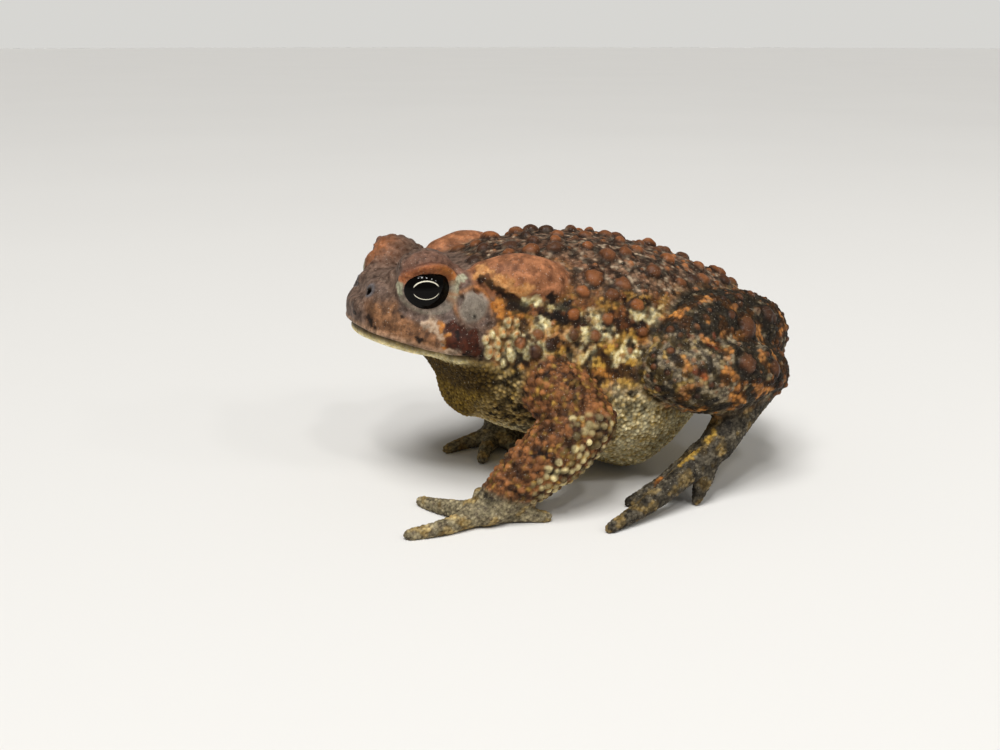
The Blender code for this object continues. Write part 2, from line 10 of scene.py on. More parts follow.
import bpy
import numpy as np
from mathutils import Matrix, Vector, noise
from mathutils.bvhtree import BVHTree
from mathutils.kdtree import KDTree


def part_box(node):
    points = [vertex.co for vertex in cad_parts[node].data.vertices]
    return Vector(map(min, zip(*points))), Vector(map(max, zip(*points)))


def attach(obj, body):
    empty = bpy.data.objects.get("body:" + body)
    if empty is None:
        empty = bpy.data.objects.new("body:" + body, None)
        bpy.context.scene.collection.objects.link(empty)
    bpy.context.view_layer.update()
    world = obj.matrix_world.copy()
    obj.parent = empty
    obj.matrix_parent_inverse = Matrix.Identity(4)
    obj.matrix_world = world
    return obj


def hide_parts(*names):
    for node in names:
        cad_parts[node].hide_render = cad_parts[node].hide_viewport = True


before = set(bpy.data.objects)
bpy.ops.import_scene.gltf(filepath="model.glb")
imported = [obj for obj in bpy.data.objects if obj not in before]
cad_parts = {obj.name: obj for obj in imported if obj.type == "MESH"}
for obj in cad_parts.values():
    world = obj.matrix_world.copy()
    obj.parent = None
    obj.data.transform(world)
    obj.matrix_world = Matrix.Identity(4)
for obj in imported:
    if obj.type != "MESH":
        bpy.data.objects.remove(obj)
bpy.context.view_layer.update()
print("solids:", len(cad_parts))

# %% [markdown]
# ## Places in millimetres
# The work is done in millimetres, with the nose towards -X and the animal's left side towards -Y. The
# middle of the left eyeball is the point that all the other places are measured from, because its solid
# is a plain ball.

# %% Millimetres and back
EYE = np.array((-30.3, -9.3, 37.4))
MM = 0.001
eye_low, eye_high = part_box("eye_left")
ORIGIN = np.array((eye_low + eye_high) / 2) - EYE * MM


def metres(place):
    return np.asarray(place, float) * MM + ORIGIN


def millimetres(place):
    return (np.asarray(place, float) - ORIGIN) / MM


def vector(place):
    return Vector([float(value) for value in place])


print("origin of the millimetre places:", ORIGIN.round(5))

# %% [markdown]
# ## The camera
# The toad is seen from its left and a little in front, from above its back, as somebody kneeling sees
# it. The turn, the rise and the distance were found by matching the eye, the snout, the rump and the
# feet.

# %% Camera
CAMERA_TURN = math.radians(-21)
CAMERA_RISE = math.radians(16)
CAMERA_PLACE = (-88.92, -197.78, 78.68)
LENS = 43.2
camera_data = bpy.data.cameras.new("camera")
camera_data.sensor_width = 36
camera_data.lens = LENS
camera_data.clip_start = 0.001
camera = bpy.data.objects.new("camera", camera_data)
bpy.context.scene.collection.objects.link(camera)
back = Vector((
    math.sin(CAMERA_TURN) * math.cos(CAMERA_RISE),
    -math.cos(CAMERA_TURN) * math.cos(CAMERA_RISE),
    math.sin(CAMERA_RISE),
))
camera.rotation_euler = back.to_track_quat("Z", "Y").to_euler()
camera.location = metres(CAMERA_PLACE)
bpy.context.scene.camera = camera
print("camera at", [round(value, 4) for value in camera.location])

# %% [markdown]
# ## One skin over all the flesh
# Real skin runs on from the belly to the toes. A model maker would press clay into the gaps between the
# parts of an armature. Here every solid of flesh is swollen a little until the gaps close, the whole is
# turned into one closed surface on a fine grid, and that surface is drawn in again by nearly as much.

# %% How much each part swells, in mm
FLESH = [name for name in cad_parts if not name.startswith("eye")]
SWELL = {"torso": 0.55, "thigh": 0.8, "shank": 0.6, "upper_arm": 0.8, "lower_jaw": 0.42, "head": 0.42}
OTHER_SWELL = 0.42
GRID = 0.26


def swell_of(name):
    return next((SWELL[part] for part in SWELL if name.startswith(part)), OTHER_SWELL)


print("the torso swells by", swell_of("torso"), "mm, the grid is", GRID, "mm")


# %% Corners, faces and normals of a solid
def solid_arrays(name):
    """Corners and triangles of a solid, in millimetres, with doubled corners made one."""
    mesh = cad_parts[name].data
    mesh.calc_loop_triangles()
    corners = np.zeros(len(mesh.vertices) * 3)
    mesh.vertices.foreach_get("co", corners)
    triangles = np.zeros(len(mesh.loop_triangles) * 3, int)
    mesh.loop_triangles.foreach_get("vertices", triangles)
    corners = millimetres(corners.reshape(-1, 3))
    _, first, same = np.unique(corners.round(4), axis=0, return_index=True, return_inverse=True)
    return corners[first], same.reshape(-1)[triangles].reshape(-1, 3)


def normals_of(places, faces):
    """Unit normals at the corners of a mesh whose faces all have three or all have four corners."""
    first, second, third, last = (places[faces[:, corner]] for corner in (0, 1, 2, -1))
    across = np.cross(third - first, last - second)
    total = np.zeros_like(places)
    for corner in range(faces.shape[1]):
        for axis in range(3):
            total[:, axis] += np.bincount(faces[:, corner], across[:, axis], len(places))
    return total / np.maximum(np.linalg.norm(total, axis=1, keepdims=True), 1e-12)


print("the left eye's solid has", len(solid_arrays("eye_left")[1]), "triangles")

# %% Gather the flesh
flesh_corners = []
flesh_faces = []
face_owner = []
swollen_corners = []
start = 0
for index, name in enumerate(FLESH):
    corners, faces = solid_arrays(name)
    flesh_corners.append(corners)
    swollen_corners.append(corners + swell_of(name) * normals_of(corners, faces))
    flesh_faces.append(faces + start)
    face_owner.append(np.full(len(faces), index))
    start += len(corners)
flesh_corners = np.concatenate(flesh_corners)
flesh_faces = np.concatenate(flesh_faces)
face_owner = np.concatenate(face_owner)
swollen = bpy.data.meshes.new("swollen")
swollen.from_pydata(np.concatenate(swollen_corners).tolist(), [], flesh_faces.tolist())
print("flesh:", len(FLESH), "solids,", len(flesh_faces), "triangles")

# %% Lay the skin on a fine grid
mould = bpy.data.objects.new("mould", swollen)
bpy.context.scene.collection.objects.link(mould)
remesh = mould.modifiers.new("skin", "REMESH")
remesh.mode = "VOXEL"
remesh.voxel_size = GRID
bpy.context.view_layer.update()
cast = mould.evaluated_get(bpy.context.evaluated_depsgraph_get()).to_mesh()
places = np.zeros(len(cast.vertices) * 3)
cast.vertices.foreach_get("co", places)
places = places.reshape(-1, 3)
quads = np.zeros(len(cast.polygons) * 4, int)
cast.polygons.foreach_get("vertices", quads)
quads = quads.reshape(-1, 4)
mould.to_mesh_clear()
bpy.data.objects.remove(mould)
bpy.data.meshes.remove(swollen)
print("cast:", len(places), "corners")


# %% Keep only the outer sheet
def outer_shell(places, quads):
    """Keeps the largest joined sheet, so that no closed hollow stays inside."""
    label = np.arange(len(places))
    pairs = np.concatenate([quads[:, [0, 1]], quads[:, [1, 2]], quads[:, [2, 3]], quads[:, [3, 0]]])
    while True:
        low = np.minimum(label[pairs[:, 0]], label[pairs[:, 1]])
        fresh = label.copy()
        np.minimum.at(fresh, pairs[:, 0], low)
        np.minimum.at(fresh, pairs[:, 1], low)
        fresh = fresh[fresh]
        if (fresh == label).all():
            break
        label = fresh
    keep = label == np.bincount(label).argmax()
    number = np.cumsum(keep) - 1
    return places[keep], number[quads[keep[quads[:, 0]]]]


places, quads = outer_shell(places, quads)
COUNT = len(places)
print("skin:", COUNT, "corners,", len(quads), "quads")

# %% [markdown]
# ## Smoothing
# A damp fingertip drawn over clay evens it out. Each corner moves towards the middle of its neighbours,
# and the same step, used on a painted value in place of a position, softens the border of a region.

# %% A step that evens out
pairs = np.concatenate([quads[:, [corner, (corner + 1) % 4]] for corner in range(4)])
pairs = np.unique(np.sort(pairs, axis=1), axis=0)
pairs = np.concatenate([pairs, pairs[:, ::-1]])
pairs = pairs[np.argsort(pairs[:, 0], kind="stable")]
neighbours = pairs[:, 1].copy()
neighbour_count = np.bincount(pairs[:, 0], minlength=COUNT)
first_neighbour = np.concatenate([[0], np.cumsum(neighbour_count)[:-1]])


def evened(values, rounds, amount=0.6):
    values = np.array(values, float)
    columns = values.reshape(COUNT, -1)
    for _ in range(rounds):
        middle = np.add.reduceat(columns[neighbours], first_neighbour, axis=0) / neighbour_count[:, None]
        columns += amount * (middle - columns)
    return columns.reshape(values.shape)


print("each corner has", neighbour_count.mean().round(2), "neighbours on average")

# %% Draw the skin in again
LEFT_ON = 0.12
owner_tree = BVHTree.FromPolygons(flesh_corners.tolist(), flesh_faces.tolist())
nearest_face = np.array([owner_tree.find_nearest(vector(place))[2] for place in places])
owner = face_owner[nearest_face]
drawn_in = np.array([swell_of(name) for name in FLESH])[owner] - LEFT_ON
places = evened(places, 3)
places -= evened(drawn_in, 6)[:, None] * normals_of(places, quads)
raw_places = evened(places, 3)
fine_places = evened(raw_places, 8)
print("skin evened, box", fine_places.min(0).round(1), fine_places.max(0).round(1))

# %% [markdown]
# ## Which part of the body is where
# Paint and relief change from part to part: a toad's back has warts, its belly has pebbles. Each corner
# of the skin asks the solids which of them is the nearest, and the answers are evened out into soft
# regions.

# %% Helpers for soft borders
nearest_name = np.array(FLESH)[owner]


def region(*parts, rounds=12):
    """1 on the named parts of the body and 0 elsewhere, with a soft border."""
    inside = np.zeros(COUNT)
    for part in parts:
        inside[np.char.startswith(nearest_name, part)] = 1.0
    return evened(inside, rounds)


def rise(values, low, high):
    """0 below low, 1 above high and a smooth ramp between them."""
    ramp = np.clip((values - low) / (high - low), 0, 1)
    return ramp * ramp * (3 - 2 * ramp)


def bell(values, width):
    return np.exp(-(values / width) ** 2)


print("a rise half way:", rise(0.5, 0, 1), "and a bell one width out:", bell(1.0, 1.0).round(3))

# %% Regions of the body
fine_normals = normals_of(fine_places, quads)
broad_normals = evened(fine_normals, 40)
x, y, z = fine_places.T
side = np.abs(y)
up = broad_normals[:, 2]
skull = region("head")
jaw = region("lower_jaw")
trunk = region("torso")
gland = region("parotoid")
drum = region("tympanum", rounds=2)
upper_arm = region("upper_arm")
forearm = region("forearm")
hand = region("hand")
thigh = region("thigh")
shank = region("shank")
foot = region("foot")
arm = upper_arm + forearm
leg = thigh + shank
print("share of the skin on the head:", skull.mean().round(3), "and on the legs:", leg.mean().round(3))

# %% Belly, flank and back
underside = rise(-(z - (18.7 + 0.10 * x)), -4.5, 2.5)
underside = np.where(x < -16, rise(-(z - (24.5 - 0.2 * (x + 16))), -1.0, 2.0), underside)
under_face = skull * rise(np.interp(x, (-46, -22), (28.4, 24.2)) - z, 0.0, 1.4)
skull = skull - under_face
belly = evened((trunk + jaw * rise(-(z - 26.0), -0.5, 1.5)) * underside + under_face, 12)
top = evened(rise(up + 0.03 * (z - 36), 0.3, 0.75) * trunk, 20)
flank = np.clip(trunk - belly - top, 0, 1)
for name, values in (("belly", belly), ("flank", flank), ("back", top)):
    print("share of the skin that is", name, values.mean().round(3))

# %% [markdown]
# ## Finding the warts of the solids
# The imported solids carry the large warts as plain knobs. Where the skin stands above a much smoother
# copy of itself there is such a knob. Its place and height are kept, the knob is levelled, and a finer
# wart goes there.

# %% How far the skin stands above a calm copy
calm_places = evened(raw_places, 110)
calm_normals = evened(normals_of(calm_places, quads), 6)
stand = ((evened(raw_places, 4) - calm_places) * calm_normals).sum(1)
knobbly = np.clip(trunk * (1 - belly) + leg + arm, 0, 1) > 0.6
KNOB_HEIGHT = 0.2
KNOB_SPACING = 1.5
print("the skin stands up to", stand.max().round(2), "mm above the calm copy")

# %% Find the knobs
skin_tree = KDTree(COUNT)
for number, place in enumerate(fine_places):
    skin_tree.insert(place, number)
skin_tree.balance()


def within(place, reach):
    """Numbers of the skin's corners within reach of a place."""
    return np.array([found[1] for found in skin_tree.find_range(vector(place), reach)], int)


knob_sites = []
free = knobbly & (stand > KNOB_HEIGHT)
for number in np.argsort(-stand):
    if not free[number]:
        if stand[number] < KNOB_HEIGHT:
            break
        continue
    around = within(fine_places[number], KNOB_SPACING)
    free[around] = False
    if stand[number] >= stand[around].max() - 1e-9:
        knob_sites.append(number)
knob_sites = np.array(knob_sites)
knob_heights = stand[knob_sites]
print("knobs found:", len(knob_sites), "heights", knob_heights.min().round(2), knob_heights.max().round(2))

# %% [markdown]
# ## Relief of the skin
# Three sizes of bump lie over one another: the large warts of the back, the small pointed ones between
# them, and the granules that cover everything. Each is a set of places strewn with a least distance, as
# peas on a plate keep theirs, and each raises a dome around every place.

# %% A way to strew places
chance = np.random.default_rng(11)
shape_relief = np.zeros(COUNT)
lumps = np.array([1 + 0.28 * noise.noise(vector(place) / 0.9) for place in fine_places])


def strew(spacing, share):
    """Corners of the skin that keep the given distance, in mm; share thins them out, from 0 to 1."""
    spacing = np.broadcast_to(spacing, COUNT)
    taken = share <= 0
    chosen = []
    for number in chance.permutation(COUNT):
        if taken[number]:
            continue
        taken[within(fine_places[number], spacing[number])] = True
        if chance.random() < share[number]:
            chosen.append(number)
    return np.array(chosen)


print("room for", COUNT, "corners, lumps from", lumps.min().round(2), "to", lumps.max().round(2))


# %% A way to raise a dome
def lay(mask, around, values):
    """Lays values on some corners of a mask, where they are above what is there."""
    mask[around] = np.maximum(mask[around], values)


def raise_dome(site, radius, height, normals, pointed=1.0, tall=1.0):
    """Raises one wart and returns the corners around it with their distance in radii."""
    around = within(fine_places[site], radius * 1.9 * tall)
    offset = fine_places[around] - fine_places[site]
    axis = normals[site]
    offset -= (offset @ axis)[:, None] * axis
    offset[:, 2] /= tall
    reach = np.linalg.norm(offset, axis=1) / (radius * lumps[around])
    facing = normals[around] @ axis > 0.2
    around, reach = around[facing], reach[facing]
    dome = np.clip(1 - reach ** 2, 0, 1) ** (0.62 * pointed)
    lay(shape_relief, around, height * dome)
    return around, reach


print("relief so far:", shape_relief.max(), "mm")

# %% Large warts in place of the solids' knobs
wart = np.zeros(COUNT)
ring = np.zeros(COUNT)
wart_tone = np.zeros(COUNT)
spine = np.zeros(COUNT)
taken = np.zeros(COUNT, bool)
levelled = 0.85 * rise(evened(stand, 6), 0.05, 0.2) * (trunk + thigh) * (1 - belly)


def add_wart(site, radius, height, gap):
    """A large wart; no other large one comes within the gap of its edge."""
    around, reach = raise_dome(site, radius, height, calm_normals)
    lay(levelled, around, rise(-reach, -1.75, -1.15))
    lay(wart, around, rise(-reach, -1.06, -0.86))
    # The ring is painted shade in the crease round the wart's foot.
    lay(ring, around, bell(reach - 1.08, 0.2))
    lay(spine, around, bell(reach, 0.3) * (chance.random() > 0.4))
    wart_tone[around[reach < 1.2]] = chance.random() * (1 - 0.7 * leg[site]) * (1 - 0.25 * top[site])
    taken[within(fine_places[site], radius + gap)] = True


print("share of the skin that is levelled:", (levelled > 0.5).mean().round(3))

# %% The largest warts have their own places
LARGEST = (
    ((-19.0, 5.6, 40.8), 1.5), ((-19.4, -4.6, 40.4), 1.3), ((-13.4, 4.6, 42.2), 1.9),
    ((-12.8, -4.4, 42.4), 1.7), ((-2.3, -16.1, 38.3), 1.7), ((2.8, -17.5, 37.0), 1.6),
    ((0.2, -18.6, 35.7), 1.3), ((-4.6, -17.3, 36.2), 1.2), ((24.2, -22.7, 28.4), 2.2),
    ((20.4, -29.8, 24.4), 1.9), ((30.9, -18.9, 29.7), 1.9), ((27.0, -27.6, 22.4), 1.6),
    ((-1.3, -20.3, 32.2), 1.1), ((4.4, -19.8, 33.8), 1.2), ((24.2, 22.7, 28.4), 2.1),
    ((20.4, 29.8, 24.4), 1.9), ((30.9, 18.9, 29.7), 1.9), ((27.0, 27.6, 22.4), 1.6),
    ((0.8, 18.2, 36.2), 1.5), ((-7.0, 16.4, 38.0), 1.4),
)
for spot, radius in LARGEST:
    add_wart(skin_tree.find(vector(spot))[1], radius, radius * 0.55, 1.2)
print("largest warts:", len(LARGEST))

# %% The other knobs become warts too
for site in knob_sites:
    if taken[site] or arm[site] > 0.5:
        continue
    knob = (0.8 + 1.5 * (stand[site] - 0.2)) * (0.75 + 0.5 * chance.random())
    radius = min(1.55, knob * (1 + 0.15 * top[site])) * (1 - 0.4 * leg[site])
    add_wart(site, radius, radius * (0.58 + 0.25 * chance.random()), 1.0 + 0.4 * flank[site])
print("share of the skin under large warts:", (wart > 0.5).mean().round(3))

# %% Small pointed warts between them
small = np.zeros(COUNT)
small_share = np.clip(0.5 * top + 0.4 * flank + 0.6 * leg, 0, 1)
small_share *= (levelled < 0.99) * (1 - belly) * (1 - wart)
small_sites = strew(1.9 - 0.2 * leg, small_share * ~taken)
for site in small_sites:
    radius = 0.34 + 0.4 * chance.random() ** 2
    around, reach = raise_dome(site, radius, radius * 0.75, calm_normals, 1.4)
    lay(small, around, rise(-reach, -1.1, -0.75))
    wart_tone[around[reach < 1.2]] = chance.random()
print("small warts:", len(small_sites))

# %% Pebbles of the arms
pebble = np.zeros(COUNT)
pebble_sites = strew(1.25, 0.92 * rise(arm, 0.3, 0.8))
for site in pebble_sites:
    radius = 0.5 + 0.24 * chance.random()
    around, reach = raise_dome(site, radius, radius * 0.7, fine_normals, 1.1)
    lay(pebble, around, rise(-reach, -1.12, -0.85))
    wart_tone[around[reach < 1.1]] = chance.random()
print("pebbles:", len(pebble_sites))

# %% Soft bumps on the eyelids and the crown
brow = skull * rise(z, 39.5, 41.0) * rise(-x, 22.5, 24.0)
for site in strew(1.5, 0.8 * brow):
    radius = 0.55 + 0.35 * chance.random()
    raise_dome(site, radius, 0.25, calm_normals)
print("highest relief so far", shape_relief.max().round(2), "mm")

# %% [markdown]
# ## Granules
# Every part of a toad's skin is paved with granules of 0.3 to 0.6 mm. The finest are too small to show
# at this distance, so here they are 0.6 to 0.9 mm wide. They are the cells around strewn places: each
# corner of the skin belongs to the nearest place, stands higher near its middle, and the dark crack
# runs where two are as near, as darker skin with painted shade in the crevice.

# %% Size and height of the granules, in mm
GRAIN_SIZE = 0.62 + 0.1 * gland + 0.12 * top + 0.04 * flank + 0.16 * belly + 0.12 * arm
GRAIN_SIZE += 0.06 * hand + 0.2 * leg + 0.06 * foot - 0.1 * drum + 0.1 * jaw
GRAIN_RELIEF = 0.035 * skull + 0.02 * gland + 0.09 * top + 0.09 * flank + 0.4 * belly + 0.1 * arm
GRAIN_RELIEF += 0.22 * hand + 0.2 * leg + 0.22 * foot + 0.05 * jaw
print("granules from", GRAIN_SIZE.min().round(2), "to", GRAIN_SIZE.max().round(2), "mm")

# %% Pave the skin
grain_sites = strew(GRAIN_SIZE * 0.82, np.ones(COUNT))
grain_tree = KDTree(len(grain_sites))
for number, site in enumerate(grain_sites):
    grain_tree.insert(fine_places[site], number)
grain_tree.balance()
found = [grain_tree.find_n(place, 2) for place in fine_places]
grain = np.array([pair[0][1] for pair in found])
to_first = np.array([pair[0][2] for pair in found])
to_second = np.array([pair[1][2] for pair in found])
grain_dome = np.clip(1 - (to_first / (0.62 * GRAIN_SIZE)) ** 2, 0, 1) ** 0.7
# The dark crack is darker skin between the granules, with painted shade in the crevice.
crack = 1 - rise((to_second - to_first) / GRAIN_SIZE, 0.03, 0.35 + 0.3 * belly)
grain_tone = chance.random(len(grain_sites))[grain]
on_wart = np.maximum(np.maximum(wart, small), pebble)
grain_relief = GRAIN_RELIEF * (grain_dome - 0.35) * (0.7 + 0.6 * grain_tone) * (1 - 0.85 * on_wart)
print("granules", len(grain_sites))

# %% [markdown]
# ## Face
# A toad's face is skin drawn tight over the skull: lids like thick lips, a mouth that is one long
# crease, nostrils like pinholes and a round ear drum with a rim. Each is a groove or a ridge along a
# line, and a groove is the skin moved inwards by a bell curve of its distance from that line.

# %% Distance from a line
mirror_places = fine_places.copy()
mirror_places[:, 1] = -side
MOUTH = ((-46, 30.6), (-40.6, 29.9), (-36, 28.7), (-31, 27.3), (-27.4, 26.5), (-25, 26.6), (-22.6, 25.8))
MOUTH_END = -22.6


def distance_to_line(spots, line):
    """Distance of each spot from a row of joined straight stretches, in two or three dimensions."""
    line = np.array(line, float)
    least = np.full(len(spots), 1e9)
    for start, end in zip(line[:-1], line[1:]):
        along = end - start
        share = np.clip(((spots - start) @ along) / (along @ along), 0, 1)
        least = np.minimum(least, np.linalg.norm(spots - start - share[:, None] * along, axis=1))
    return least


def height_over_line(line):
    """How far each corner of the skin stands above a line seen from the side."""
    line = np.array(line, float)
    return z - np.interp(x, line[:, 0], line[:, 1])


print("the mouth is", distance_to_line(fine_places[:, [0, 2]], MOUTH).max().round(1), "mm away at most")

# %% Mouth and lips
face = np.clip(skull + jaw, 0, 1)
head_relief = np.zeros(COUNT)
over_mouth = height_over_line(MOUTH)
on_mouth = face * rise(-x, -MOUTH_END, -MOUTH_END + 2.5)
head_relief -= 0.6 * bell(over_mouth, 0.38) * on_mouth
head_relief += 0.28 * bell(over_mouth - 0.9, 0.45) * on_mouth
head_relief += 0.26 * bell(over_mouth + 0.9, 0.42) * on_mouth
print("corners on the mouth's line:", int((on_mouth * bell(over_mouth, 0.38) > 0.5).sum()))

# %% Snout and brow
# The front of the snout slopes more than the solid's does, and the near eye sits under a higher brow.
head_relief -= 1.8 * rise(-x, 37.0, 40.2) * rise(z, 33.8, 37.6) * skull
head_relief -= 0.35 * rise(-x, 38.5, 41.0) * skull
to_brow = np.linalg.norm(fine_places - (-29.3, -8.2, 42.2), axis=1)
head_relief += 0.85 * bell(to_brow, 3.6) * rise(z, 40.5, 42.2) * skull
print("the head moves by", head_relief.min().round(2), "to", head_relief.max().round(2), "mm")

# %% Opening between the lids
# Half its width and half its height in mm; its middle lies a little behind and above the eyeball's.
LID_OPENING = (4.42, 3.6)
LID_SHIFT = (0.2, 0.27)
lid_across = (mirror_places[:, 0] - EYE[0] - LID_SHIFT[0]) / LID_OPENING[0]
lid_up = (mirror_places[:, 2] - EYE[2] - LID_SHIFT[1]) / LID_OPENING[1]
lid_reach = np.hypot(lid_across, lid_up)
lid_side = skull * rise(side, 9.6, 10.8) * (lid_reach < 2.6)
upper_lid = lid_side * rise(lid_up / np.maximum(lid_reach, 0.01), 0.05, 0.45)
lower_lid = lid_side * rise(-lid_up / np.maximum(lid_reach, 0.01), -0.05, 0.4)
near_side = rise(-y, -1, 1)
print("corners in the upper lids:", int((upper_lid > 0.5).sum()))

# %% Lids
head_relief += (0.2 + 0.4 * near_side) * bell(lid_reach - 1.12, 0.11) * upper_lid
before_far_eye = rise(-x, 31.5, 35.0) * rise(z, 32.5, 35.5) * rise(side, 6.5, 9.0)
head_relief -= (1 - near_side) * before_far_eye * skull
head_relief -= 0.3 * bell(lid_reach - 1.3, 0.06) * upper_lid
head_relief += 0.15 * bell(lid_reach - 1.12, 0.1) * lower_lid
head_relief -= 0.12 * bell(lid_reach - 1.38, 0.08) * lower_lid
print("lids raised to", head_relief[upper_lid > 0.5].max().round(2), "mm")

# %% Nostrils
NOSTRIL = (-38.5, -4.3, 36.8)
nostril_spot = fine_places[skin_tree.find(vector(NOSTRIL))[1]]
to_nostril = np.linalg.norm(mirror_places - nostril_spot, axis=1)
head_relief -= 0.9 * bell(to_nostril, 0.5)
head_relief += 0.22 * bell(to_nostril - 1.0, 0.35)
print("left nostril at", nostril_spot.round(1), "mm")

# %% Ear drums
DRUM = np.array((-23.5, -15.5, 34.6))
DRUM_RADII = (2.55, 2.85)
drum_across = (mirror_places[:, 0] - DRUM[0]) / DRUM_RADII[0]
drum_up = (mirror_places[:, 2] - DRUM[2]) / DRUM_RADII[1]
drum_reach = np.where(side > 11.5, np.hypot(drum_across, drum_up), 9.0)
head_relief += 0.3 * bell(drum_reach - 1.13, 0.14)
head_relief -= 0.15 * rise(-drum_reach, -1.0, -0.85)
print("corners in the ear drums:", int((drum_reach < 1).sum()))

# %% Pointed warts behind the corner of the mouth
CREAM_WARTS = (
    (-20.0, -17.3, 28.8), (-19.3, -17.3, 30.6), (-21.6, -17.2, 27.4), (-20.2, -17.4, 26.5),
    (-19.0, -17.6, 25.5), (-18.0, -17.6, 28.4), (-16.9, -17.7, 29.8), (-22.4, -17.2, 29.3),
    (-16.7, -18.9, 28.2), (-18.0, -18.0, 26.6), (-21.0, -17.1, 30.4), (-18.3, -17.1, 32.0),
    (-15.4, -18.6, 27.0), (-16.6, -17.4, 32.0),
)
cream_wart = np.zeros(COUNT)
wart_tip = np.zeros(COUNT)
for place in CREAM_WARTS:
    for mirror in (1, -1):
        spot = np.array(place) * (1, mirror, 1)
        site = skin_tree.find(vector(spot + 0.35 * (chance.random(3) - 0.5)))[1]
        radius = 0.55 + 0.35 * chance.random()
        has_orange_tip = chance.random() > 0.3
        around, reach = raise_dome(site, radius, radius * 1.5, calm_normals, 1.6, 1.6)
        lay(cream_wart, around, rise(-reach, -1.02, -0.8))
        # A ring of painted shade round the wart's foot.
        lay(ring, around, 0.9 * bell(reach - 1.25, 0.16))
        height_over_site = fine_places[around, 2] - fine_places[site, 2]
        tip = rise(-reach, -0.8, -0.4) * rise(height_over_site, -0.35, 0.1) * has_orange_tip
        lay(wart_tip, around, tip)
print("cream warts:", 2 * len(CREAM_WARTS))

# %% The skin takes its shape
shaped = fine_places + levelled[:, None] * (calm_places - fine_places)
direction = fine_normals + levelled[:, None] * (calm_normals - fine_normals)
shaped += direction * (shape_relief + grain_relief + head_relief)[:, None]
shaped[:, 2] = np.maximum(shaped[:, 2], 0.0)
print("relief of the skin: up to", shape_relief.max().round(2), "mm")

# %% [markdown]
# ## Lids and eyeball
# A living lid lies on the eyeball like a wet sleeve, with no gap. Modelled apart, the two leave a slit
# or poke through each other. So the skin beside the eye is pushed along lines from the eyeball's
# middle: out over the ball where the lids are, and well inside it within the opening, where only the
# eye shows.

# %% The lids close round the eyeball
BALL_RADIUS = 4.7
MARGIN = 0.16
FAR_BALL_SHIFT = np.array((0.45, -0.45, 0.0))
ball_centre = {1: EYE, -1: EYE * (1, -1, 1) + FAR_BALL_SHIFT}
for mirror in (1, -1):
    offset = shaped - ball_centre[mirror]
    distance = np.linalg.norm(offset, axis=1)
    near = (lid_reach < 1.7) & (y * mirror < 0) & (skull > 0.3) & (distance < 9) & (side > 9)
    covered = near & (lid_reach > 1.0)
    wanted = distance.copy()
    cover = BALL_RADIUS + MARGIN + 0.25 * upper_lid * bell(lid_reach - 1.12, 0.12)
    wanted[covered] = np.maximum(distance, np.where(lid_reach < 1.45, cover, 0))[covered]
    bare = near & (lid_reach <= 1.0)
    wanted[bare] = np.minimum(distance, BALL_RADIUS - 0.5 + 0.6 * rise(lid_reach, 0.9, 1.0))[bare]
    shaped += offset * ((wanted - distance) / distance)[:, None]
print("skin box in mm", shaped.min(0).round(2), shaped.max(0).round(2))

# %% [markdown]
# ## Painting by the granule
# Seen close, a toad's colours don't run over its granules: each granule is one colour. So every pattern
# is worked out once for a granule, at its middle, and the whole granule takes that value.

# %% Tools for painting
grain_places = fine_places[grain_sites]
mirror_grains = grain_places.copy()
mirror_grains[:, 1] = -np.abs(grain_places[:, 1])


def mottle(size, seed):
    """Smooth noise from 0 to 1 with patches of about the given size in mm, one value for each granule."""
    shift = Vector((seed * 13.7, seed * 7.1, seed * 3.3))
    return np.array([noise.noise(vector(place) / size + shift) for place in grain_places]) * 0.9 + 0.5


wander = np.stack([mottle(1.6, seed) - 0.5 for seed in (21, 22, 23)], axis=1)
paint_places = mirror_grains + 1.1 * wander


def spread(grain_values):
    return np.asarray(grain_values)[grain]


def daub(places_and_radii):
    """Soft-edged spots of paint, each a middle and three radii in mm, on both sides of the body."""
    painted = np.zeros(len(grain_sites))
    for centre, radii in places_and_radii:
        reach = np.linalg.norm((paint_places - centre) / radii, axis=1)
        painted = np.maximum(painted, rise(-reach, -1.12, -0.92))
    return spread(painted)


def stroke(line, width):
    """A brush stroke along a line."""
    return spread(rise(-distance_to_line(mirror_grains + 0.4 * wander, line), -width, -0.6 * width))


print("borders of the patches wander by up to", (1.1 * np.abs(wander).max()).round(2), "mm")


# %% [markdown]
# ## Patches
# Some marks are known by their place: a maroon blotch below the ear drum, pale granules behind it, a black
# streak under the gland. Each is a few daubs with a middle and three radii in mm. A little noise pushes
# their borders about, so that none is a clean oval, and both sides of the body get the same.

# %% Patches seen on the live animal
pale_green = daub((
    ((-34.7, -10.9, 37.9), (0.6, 1.6, 1.5)), ((-25.5, -12.7, 39.2), (1.2, 1.8, 0.9)),
    ((-25.9, -12.7, 37.7), (0.8, 1.8, 1.7)),
))
beige = daub((
    ((-30.8, -13.8, 32.4), (1.1, 1.8, 1.0)), ((-30.0, -14.6, 31.3), (0.7, 1.5, 1.1)),
    ((-29.4, -15.5, 29.8), (0.6, 1.5, 1.2)), ((-28.3, -16.0, 27.9), (1.2, 1.6, 0.7)),
))
cream = daub((
    ((-13.9, -17.5, 35.4), (2.0, 1.8, 0.9)), ((-12.4, -18.4, 31.5), (1.5, 1.8, 1.5)),
    ((-9.7, -18.0, 34.3), (1.5, 1.8, 0.9)), ((-3.8, -20.6, 30.2), (2.9, 2.2, 1.5)),
    ((2.1, -22.1, 27.2), (1.6, 2.2, 2.2)), ((-13.8, -18.4, 28.4), (1.2, 1.8, 1.2)),
))
